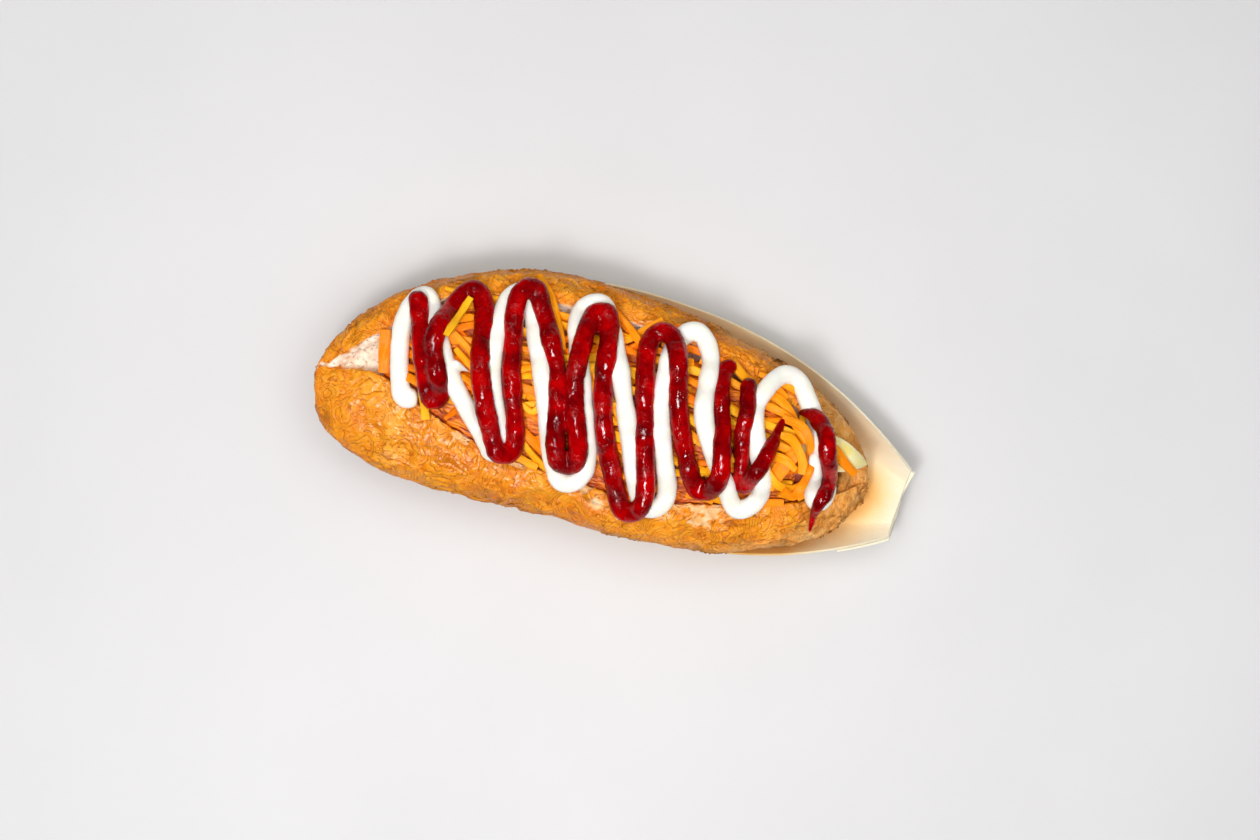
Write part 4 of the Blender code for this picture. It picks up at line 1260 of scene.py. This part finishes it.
def make_boat(finish):
    runs = np.sin(np.linspace(-math.pi / 2, math.pi / 2, 150)) * (BOAT_LENGTH / 2) * 0.999
    shares = np.tile(np.linspace(-1, 1, 61), (len(runs), 1))
    sheets = [veneer_sheet(runs, shares, 0, VENEER)]
    for end in (-1, 1):
        sheets += [lap_sheet(end, 1, VENEER), lap_sheet(end, -1, 2 * VENEER)]
    points, faces, places, first = [], [], [], 0
    for sheet_points, sheet_faces, sheet_places in sheets:
        points.append(sheet_points)
        places.append(sheet_places)
        faces += [tuple(first + i for i in face) for face in sheet_faces]
        first += len(sheet_points)
    points, places = np.vstack(points), np.vstack(places)
    uvs = [places[i] for face in faces for i in face]
    # painted warm bounce light and shade from the roll, kept on the veneer's points
    stain = veneer_stain(points[:, 0], points[:, 1])
    boat = add_mesh("boat_veneer", points, faces, finish, "veneer", uvs, stain=stain)
    boat.data.set_sharp_from_angle(angle=math.radians(50))
    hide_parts("boat")
    return turned_out(boat)


# ---------------------------------------------------------------- the sausage and the pickle


def sausage_girth(x):
    past = (np.abs(x - SAUSAGE_MIDDLE) - SAUSAGE_EVEN) / SAUSAGE_TAPER_RUN
    return SAUSAGE_RADIUS - SAUSAGE_TAPER * ease(past)


def sausage_radius(x):
    from_tip = np.minimum(x - SAUSAGE_LEFT, SAUSAGE_RIGHT - x)
    rounded = 1 - np.maximum(0, 1 - from_tip / SAUSAGE_ROUNDING) ** 2
    return sausage_girth(x) * np.sqrt(np.maximum(SAUSAGE_BLUNTNESS, rounded))


def sausage_axis():
    """The sausage's middle line, which rests in the slit."""
    body = np.linspace(SAUSAGE_LEFT + 3, SAUSAGE_RIGHT - 3, 19)
    x = np.array([SAUSAGE_LEFT, SAUSAGE_LEFT + 1, *body, SAUSAGE_RIGHT - 1, SAUSAGE_RIGHT])
    near, far = slit_lips(x)
    y = near + np.minimum(SAUSAGE_FROM_NEAR_LIP, 0.5 * (far - near))
    clear = sausage_girth(x) + 3 * GAP
    sides = np.linspace(-1, 1, 17)[:, None] * clear
    lifts = slit_height(x, y + sides) + np.sqrt(np.maximum(clear**2 - sides**2, 0))
    return np.column_stack([x, y, bridged(lifts.max(axis=0), 2)])


def make_sausage(finish, rings=180, sides=72):
    axis = sausage_axis()
    x = SAUSAGE_LEFT + (SAUSAGE_RIGHT - SAUSAGE_LEFT) * (1 - np.cos(np.linspace(0, math.pi, rings))) / 2
    y, z = (np.interp(x, axis[:, 0], column)[:, None] for column in axis[:, 1:].T)
    turn = np.linspace(0, 2 * math.pi, sides, endpoint=False)
    radius = sausage_radius(x)[:, None]
    x = np.broadcast_to(x[:, None], (rings, sides))
    points = np.stack([x, y + radius * np.cos(turn), z + radius * np.sin(turn)], axis=-1)
    skin = 0.28 * field(points, 7, 50.0) - 0.22 * crease(field(warped(points, 5, 2), 6, 51.0), 0.07)
    points = points + grid_normals(points) * skin[..., None]
    faces = closed_faces(rings, sides)
    sausage = add_mesh("sausage_skin", points.reshape(-1, 3), faces, finish, "sausage")
    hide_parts("sausage")
    return turned_out(sausage)


def make_pickle(finish):
    """A bent slice, pointed at both ends, that is thin and droops towards its edges."""
    heading = np.array((math.cos(PICKLE_HEADING), math.sin(PICKLE_HEADING)))
    side = np.array((-heading[1], heading[0]))
    t = PICKLE_ENDS + (1 - 2 * PICKLE_ENDS) * (1 - np.cos(np.linspace(0, math.pi, 70))) / 2
    across = np.linspace(-1, 1, 25)
    half = PICKLE_WIDTH / 2 * (1 - np.abs(2 * t - 1) ** PICKLE_POINTED) ** PICKLE_EDGE
    middle = np.array(PICKLE_TIP) - heading * (PICKLE_LENGTH * t)[:, None]
    plan = middle[:, None] + side * (half[:, None] * across)[..., None]
    sunk = np.interp(np.abs(across), *PICKLE_SAG)
    thick = np.interp(np.abs(across), *PICKLE_EDGES) * PICKLE_THICKNESS
    height = -PICKLE_FALL * (1 - t)[:, None] ** 2 - sunk * PICKLE_THICKNESS
    upper = np.dstack([plan, height])
    upper[..., 2] += 0.25 * field(upper, 3.5, 60.0)
    lower = upper - np.dstack([np.zeros((len(t), len(across), 2)), np.broadcast_to(thick, height.shape)])
    rings = np.concatenate([upper, lower[:, ::-1]], axis=1)
    rings[..., 2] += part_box("pickle_slice")[1].z * METRE - rings[..., 2].max()
    rind = np.tile(ease((np.abs(across) - 0.80) / 0.15), (len(t), 1))
    tip = np.tile(ease((0.30 - t) / 0.25)[:, None], (1, len(across)))
    rind, tip = (np.concatenate([value, value[:, ::-1]], axis=1) for value in (rind, tip))
    faces = closed_faces(len(t), rings.shape[1])
    pickle = add_mesh("pickle_flesh", rings.reshape(-1, 3), faces, finish, "pickle", rind=rind, tip=tip)
    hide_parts("pickle_slice")
    return turned_out(pickle)


# ---------------------------------------------------------------- the heap


def make_core(finish):
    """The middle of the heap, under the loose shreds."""
    left, right = HEAP_LEFT + 2, HEAP_RIGHT - 3
    x = np.linspace(left, right, 150)[:, None]
    y, floor = slit_point(x, np.linspace(0.05, 0.95, 70))
    ends = ease((x - left) / CORE_ENDS) * ease((right - x) / CORE_ENDS)
    near, far = slit_lips(x)
    crown = heap_top(x, y) - CORE_DROP * (1 - CORE_EDGE * np.abs(2 * (y - near) / (far - near) - 1) ** 3)
    least = floor + CORE_LEAST
    top = np.maximum(least + (crown - floor) * ends**0.5, least)
    upper = np.dstack([np.broadcast_to(x, y.shape), y, top])
    upper[..., 2] += CORE_ROUGHNESS * field(upper, 3.2, 70.0)
    lower = np.dstack([upper[..., 0], y, np.minimum(floor + CORE_FLOOR_GAP, upper[..., 2] - 0.3)])
    rings = np.concatenate([upper, lower[:, ::-1]], axis=1)
    faces = closed_faces(len(x), rings.shape[1])
    core = add_mesh("heap_core", rings.reshape(-1, 3), faces, finish, "carrots_and_sauces")
    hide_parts("carrots_with_sauces")
    return turned_out(core)


class Pile:
    """Heights of all that lies on the roll so far, on a grid seen from above."""

    def __init__(self, pieces):
        self.x = np.arange(ROLL_LEFT, ROLL_RIGHT + 4, PILE_CELL)
        self.y = np.arange(*PILE_SIDES, PILE_CELL)
        self.top = np.zeros((len(self.x), len(self.y)))
        for piece in pieces:
            vertices = [v.co for v in piece.data.vertices]
            tree = BVHTree.FromPolygons(vertices, [p.vertices for p in piece.data.polygons])
            for i, x in enumerate(self.x):
                for j, y in enumerate(self.y):
                    start = Vector((x / METRE, y / METRE, ABOVE_ALL / METRE))
                    hit = tree.ray_cast(start, Vector((0, 0, -1)))[0]
                    if hit is not None:
                        self.top[i, j] = max(self.top[i, j], hit.z * METRE)

    def cells(self, x, y):
        """Where these places are on the grid."""
        i = np.clip(np.rint((x - self.x[0]) / PILE_CELL).astype(int), 0, len(self.x) - 1)
        j = np.clip(np.rint((y - self.y[0]) / PILE_CELL).astype(int), 0, len(self.y) - 1)
        return i, j

    def footprint(self, line, half):
        """Places across a line, as wide as what lies on it."""
        ahead = np.gradient(line[:, :2], axis=0)
        ahead /= np.maximum(np.linalg.norm(ahead, axis=1)[:, None], 1e-9)
        side = np.column_stack([-ahead[:, 1], ahead[:, 0]])
        across = np.linspace(-1, 1, max(3, round(2 * half / PILE_CELL) + 1)) * half
        return line[:, None, :2] + side[:, None] * across[None, :, None], across / half

    def under(self, line, half):
        """Heights across each place of a line, of what lies there so far."""
        spots, _ = self.footprint(line, half)
        return self.top[self.cells(spots[..., 0], spots[..., 1])]

    def lay(self, line, half, rise, round_top=0.0):
        """Takes in a line whose top stands rise above its middle, lower at its sides if it is round."""
        spots, across = self.footprint(line, half)
        heights = line[:, 2:3] + rise * np.sqrt(np.maximum(1 - round_top * across**2, 0))
        np.maximum.at(self.top, self.cells(spots[..., 0], spots[..., 1]), heights)


def ceiling(x, y, roll_heights):
    """How high shreds may pile: a little above the solid heap, and two deep on the lips."""
    near, far = slit_lips(x)
    within = np.maximum(heap_top(x, y) + SHREDS_ABOVE, roll_top(x) + SHREDS_ON_EDGE)
    return np.where((y > near) & (y < far), within, roll_heights + SHREDS_ON_LIP)


def shred_plan(draw, x, y, heading, length):
    """A plan line through a place that bends and sways."""
    curl, sway = draw.gauss(0, SHRED_CURL), draw.uniform(0, SHRED_SWAY)
    start = draw.uniform(0, 2 * math.pi)
    s = np.linspace(-length / 2, length / 2, max(5, round(length / SHRED_STEP)))
    way = heading + curl * s + sway * np.sin(s / SWAY_LENGTH + start)
    plan = np.cumsum(np.column_stack([np.cos(way), np.sin(way)]), axis=0) * (s[1] - s[0])
    return plan - plan[len(plan) // 2] + (x, y)


def on_food(x, y):
    """Where shreds may lie."""
    near, far = slit_lips(x)
    inside = (x > HEAP_LEFT + 1) & (x < HEAP_RIGHT - 4)
    inside = inside & (y > near - OVER_NEAR_LIP) & (y < far + OVER_FAR_LIP)
    for spot_x, spot_y, reach in BARE_SPOTS:
        inside &= np.hypot(x - spot_x, y - spot_y) > reach
    return inside


def heap_grain(pile, across):
    """The heading of a shred that lies along the heap: it turns from the near lip's to the far lip's."""
    near, far = slit_lips(pile.x)
    near_slope, far_slope = (np.gradient(lip, PILE_CELL)[:, None] for lip in (near, far))
    return np.arctan(near_slope * (1 - across) + far_slope * across)


def scatter_shreds(pile):
    """Lays shreds one by one, mostly where there is room. Each is a middle line, a width and a thickness."""
    draw = random.Random(SHRED_SEED)
    x, y = np.meshgrid(pile.x, pile.y, indexing="ij")
    limit = ceiling(x, y, pile.top)
    near, far = slit_lips(x)
    share = np.where((y > near) & (y < far), 1.0, LIP_SHARE) * on_food(x, y)
    grain = heap_grain(pile, np.clip((y - near) / (far - near), 0, 1))
    shreds = []
    for i in range(SHRED_TRIES):
        if i % 10 == 0:
            room = share * np.maximum(limit - pile.top - 0.7 * SHRED_THICKNESS, 0) ** 1.5
            totals = np.cumsum(room)
        spot = min(int(np.searchsorted(totals, draw.random() * totals[-1])), totals.size - 1)
        spread = ALONG_SPREAD if draw.random() < ALONG_SHARE else CROSS_SPREAD
        heading = grain.flat[spot] + draw.gauss(0, spread)
        plan = shred_plan(draw, x.flat[spot], y.flat[spot], heading, draw.uniform(*SHRED_LENGTHS))
        width = SHRED_WIDTH * draw.uniform(*SHRED_SPREAD)
        thickness = SHRED_THICKNESS * draw.uniform(*SHRED_SPREAD)
        plan = longest_run(plan, on_food(plan[:, 0], plan[:, 1]))
        if len(plan) < SHRED_LEAST_POINTS:
            continue
        line = rested(pile, plan, width, thickness)
        if (line[:, 2] + thickness / 2 > limit[pile.cells(line[:, 0], line[:, 1])]).mean() > SHRED_OUTSIDE:
            continue
        pile.lay(line, width / 2, thickness / 2)
        shreds.append((line, width, thickness))
    return shreds + [place_shred(pile, width, plan) for width, plan in PLACED_SHREDS]


def longest_run(plan, good):
    """The longest stretch of a line that is good."""
    stops = np.flatnonzero(~np.concatenate([[False], good, [False]]))
    widest = int(np.argmax(np.diff(stops)))
    return plan[stops[widest] : stops[widest + 1] - 1]


def rested(pile, plan, width, thickness):
    """The middle line of a shred that lies on the pile and spans its dips."""
    support = pile.under(plan, width / 2).max(axis=1)
    return np.column_stack([plan, softened(bridged(support, 8), 2) + thickness / 2])


def place_shred(pile, width, plan):
    """Lays a shred of that width along the plan's points."""
    line = rested(pile, smooth_line(plan, SHRED_STEP), width, SHRED_THICKNESS)
    pile.lay(line, width / 2, SHRED_THICKNESS / 2)
    return line, width, SHRED_THICKNESS


def shred_strip(draw, line, width, thickness, profile):
    """The points of a rounded strip that twists a little and narrows at its ends."""
    run = np.linspace(0, 1, len(line))
    length = np.linalg.norm(np.diff(line, axis=0), axis=1).sum()
    blunt = draw.uniform(0.6, 1.0)
    taper = blunt + (1 - blunt) * ease(np.minimum(run, 1 - run) * length / SHRED_TAPER)
    twist = draw.uniform(-0.35, 0.35) + draw.uniform(-0.5, 0.5) * run
    side, up = sideways(line)
    c, s = np.cos(twist)[:, None], np.sin(twist)[:, None]
    side, up = c * side + s * up, c * up - s * side
    wavy = 1 + 0.08 * np.sin(run * length / 2.3 + draw.uniform(0, 6))
    return swept(line, side, up, width / 2 * taper * wavy, thickness / 2 * taper, profile)


def strip_uvs(strip, first, sides, offset):
    """Places along and round a strip, in millimetres, for each corner of its faces."""
    uvs = []
    for face in strip:
        rows = [(i - first) // sides for i in face]
        columns = [(i - first) % sides for i in face]
        if len(face) == 4 and 0 in columns and sides - 1 in columns:
            columns = [column or sides for column in columns]
        uvs += [(offset + FINE_STEP * row, offset + column) for row, column in zip(rows, columns)]
    return uvs


def make_shreds(shreds, finish, sides=8):
    """All the shreds as one mesh, each with a tone and a stretch of grain of its own."""
    draw = random.Random(SHRED_SEED + 1)
    turn = 2 * math.pi * (np.arange(sides) + 0.5) / sides
    profile = [np.copysign(np.abs(wave) ** SHRED_SQUARENESS, wave) for wave in (np.cos(turn), np.sin(turn))]
    points, faces, uvs, tones, first = [], [], [], [], 0
    for line, width, thickness in shreds:
        line = smooth_line(line, FINE_STEP, 4)
        points.append(shred_strip(draw, line, width, thickness, profile))
        strip = closed_faces(len(line), sides, first)
        faces += strip
        tones.append(np.full(len(points[-1]), draw.random()))
        uvs += strip_uvs(strip, first, sides, draw.uniform(0, 500))
        first += len(points[-1])
    points, tones = np.vstack(points), np.concatenate(tones)
    piece = add_mesh("carrot_shreds", points, faces, finish, "carrots_and_sauces", uvs, tone=tones)
    piece.data.set_sharp_from_angle(angle=math.radians(60))
    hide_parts("carrots_with_sauces")
    return turned_out(piece)


# ---------------------------------------------------------------- the sauces


def bead_radius(line, radius, tapers, seed):
    """The bead's half width along its line: it swells and thins, and narrows towards its ends."""
    run = np.concatenate([[0], np.cumsum(np.linalg.norm(np.diff(line, axis=0), axis=1))])
    waves = [sum(depth * noise.noise((s / size, seed, row)) for size, depth, row in BEAD_SWELLS) for s in run]
    girth = radius * (1.07 + np.array(waves))
    tip = BEAD_TIP * radius
    for from_end, (least, reach) in zip((run, run[-1] - run), tapers):
        girth = girth * (least + (1 - least) * ease(from_end / reach))
        cap = girth * np.sqrt(np.clip(1 - (1 - from_end / tip) ** 2, 0.02, 1))
        girth = np.where(from_end < tip, cap, girth)
    return girth


def squeeze_bead(pile, plan, radius, tapers, seed):
    """A soft bead along a plan line, sunk into what lies below it: its middle line and its half widths."""
    plan = smooth_line(plan, BEAD_STEP)
    girth = bead_radius(plan, radius, tapers, seed)
    support = np.percentile(pile.under(plan, radius * BEAD_FOOT), 75, axis=1)
    height = softened(np.maximum(support, softened(support, 12)), 14) + BEAD_RISE * softened(girth, 4)
    line = np.column_stack([plan, height])
    pile.lay(line, radius * 0.9, BEAD_FLATNESS * radius, 0.8)
    return line, girth


def bead_tube(line, girth, sides=20):
    """Points and faces of a bead that is a little wider than high."""
    turn = 2 * math.pi * np.arange(sides) / sides
    profile = (np.cos(turn), np.sin(turn))
    points = swept(line, *sideways(line), girth, BEAD_FLATNESS * girth, profile)
    return points, closed_faces(len(line), sides)


def make_sauce(name, beads, finish, voxel, lumps):
    """Beads run together into one body, then given the sauce's own fine surface."""
    points, faces, first = [], [], 0
    for line, girth in beads:
        tube, tube_faces = bead_tube(line, girth)
        points.append(tube)
        faces += [tuple(first + i for i in face) for face in tube_faces]
        first += len(tube)
    piece = turned_out(add_mesh(name, np.vstack(points), faces, finish, "carrots_and_sauces"))
    merge = piece.modifiers.new("merge", "REMESH")
    merge.mode = "VOXEL"
    merge.voxel_size = voxel / METRE
    soften = piece.modifiers.new("soften", "SMOOTH")
    soften.factor = 0.5
    soften.iterations = 4
    graph = bpy.context.evaluated_depsgraph_get()
    merged = bpy.data.meshes.new_from_object(piece.evaluated_get(graph))
    piece.modifiers.clear()
    piece.data = merged
    merged.name = name
    count = len(merged.vertices)
    places, normals = np.empty(count * 3), np.empty(count * 3)
    merged.vertices.foreach_get("co", places)
    merged.vertex_normals.foreach_get("vector", normals)
    places, normals = places.reshape(-1, 3) * METRE, normals.reshape(-1, 3)
    places += normals * layers(places, lumps)[:, None]
    merged.vertices.foreach_set("co", (places / METRE).ravel())
    merged.materials.clear()
    merged.materials.append(finish)
    merged.shade_smooth()
    merged.update()
    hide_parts("carrots_with_sauces")
    return piece


def mayonnaise_courses():
    """Each bead's plan points, half width, tapers and the seed of its swelling."""
    course = zigzag(MAYONNAISE_START, MAYONNAISE_TURNS, MAYONNAISE_END)
    return (
        (course, MAYONNAISE_RADIUS, (NO_TAPER, MAYONNAISE_TAPER), 3.0),
        (SPUR, SPUR_RADIUS, (NO_TAPER, SPUR_TAPER), 21.0),
    )


def ketchup_courses():
    """Each bead's plan points, half width, tapers and the seed of its swelling."""
    course = zigzag(KETCHUP_START, KETCHUP_TURNS, KETCHUP_END)
    return (
        (course, KETCHUP_RADIUS, (NO_TAPER, KETCHUP_TAPER), 9.0),
        (SECOND_KETCHUP, SECOND_KETCHUP_RADIUS, (NO_TAPER, SECOND_KETCHUP_TAPER), 15.0),
        (LAST_KETCHUP, LAST_KETCHUP_RADIUS, LAST_KETCHUP_TAPERS, 12.0),
    )


# ---------------------------------------------------------------- table, lamps and camera


def add_table():
    f = Finish("table", Roughness=0.6)
    mottle = f.clouds(160, 4.0)
    f.varies(Base_Color=f.ramp(mottle, (0.3, (0.623, 0.618, 0.624)), (0.7, (0.662, 0.656, 0.662))))
    mesh = bpy.data.meshes.new("table")
    corners = [(TABLE_REACH * x, TABLE_REACH * y, 0) for x, y in ((-1, -1), (1, -1), (1, 1), (-1, 1))]
    mesh.from_pydata(corners, [], [(0, 1, 2, 3)])
    mesh.materials.append(f.material)
    table = bpy.data.objects.new("table", mesh)
    bpy.context.scene.collection.objects.link(table)


def add_lamp(name, place, size, power, colour=(1.0, 1.0, 1.0)):
    lamp = bpy.data.lights.new(name, "AREA")
    lamp.size = size
    lamp.energy = power
    lamp.color = colour
    obj = bpy.data.objects.new(name, lamp)
    obj.location = place
    obj.rotation_euler = (Vector(LAMPS_FACE) - Vector(place)).to_track_quat("-Z", "Y").to_euler()
    bpy.context.scene.collection.objects.link(obj)
    return obj


def add_lamps():
    """A lamp high on the near side, one that only makes shine, a ring that only fills, and a pale room."""
    add_lamp("key", *KEY_LAMP, KEY_COLOUR)
    add_lamp("shine", *SHINE_LAMP).visible_diffuse = False
    for i in range(RING_LAMPS):
        turn = RING_TURN + 2 * math.pi * i / RING_LAMPS
        place = (RING_RADIUS * math.cos(turn), RING_RADIUS * math.sin(turn), RING_HEIGHT)
        add_lamp(f"ring_{i}", place, RING_SIZE, RING_POWER).visible_glossy = False
    world = bpy.data.worlds.new("studio")
    world.use_nodes = True
    background = world.node_tree.nodes["Background"]
    background.inputs["Color"].default_value = (*ROOM_COLOUR, 1)
    background.inputs["Strength"].default_value = ROOM_STRENGTH
    world.cycles_visibility.glossy = False
    bpy.context.scene.world = world


def add_camera():
    """Straight above, turned a little round the upright axis."""
    lens = bpy.data.cameras.new("camera")
    lens.lens = LENS
    lens.sensor_width = SENSOR
    camera = bpy.data.objects.new("camera", lens)
    camera.location = CAMERA_PLACE
    camera.rotation_euler = (0, 0, CAMERA_TURN)
    bpy.context.scene.collection.objects.link(camera)
    bpy.context.scene.camera = camera
    bpy.context.scene.view_settings.view_transform = "Standard"


def main():
    roll = make_roll(crust_and_crumb())
    make_boat(pine_veneer())
    sausage = make_sausage(sausage_skin())
    pickle = make_pickle(pickle_flesh())
    core = make_core(deep_carrot())
    pile = Pile([roll, sausage, pickle, core])
    shreds = scatter_shreds(pile)
    beads = [squeeze_bead(pile, *course) for course in mayonnaise_courses()]
    make_sauce("mayonnaise", beads, mayonnaise_sauce(), MAYONNAISE_VOXEL, MAYONNAISE_LUMPS)
    beads = [squeeze_bead(pile, *course) for course in ketchup_courses()]
    make_sauce("ketchup", beads, ketchup_sauce(), KETCHUP_VOXEL, KETCHUP_LUMPS)
    shreds.append(place_shred(pile, *TOP_SHRED))
    make_shreds(shreds, carrot_flesh())
    add_table()
    add_lamps()
    add_camera()


main()
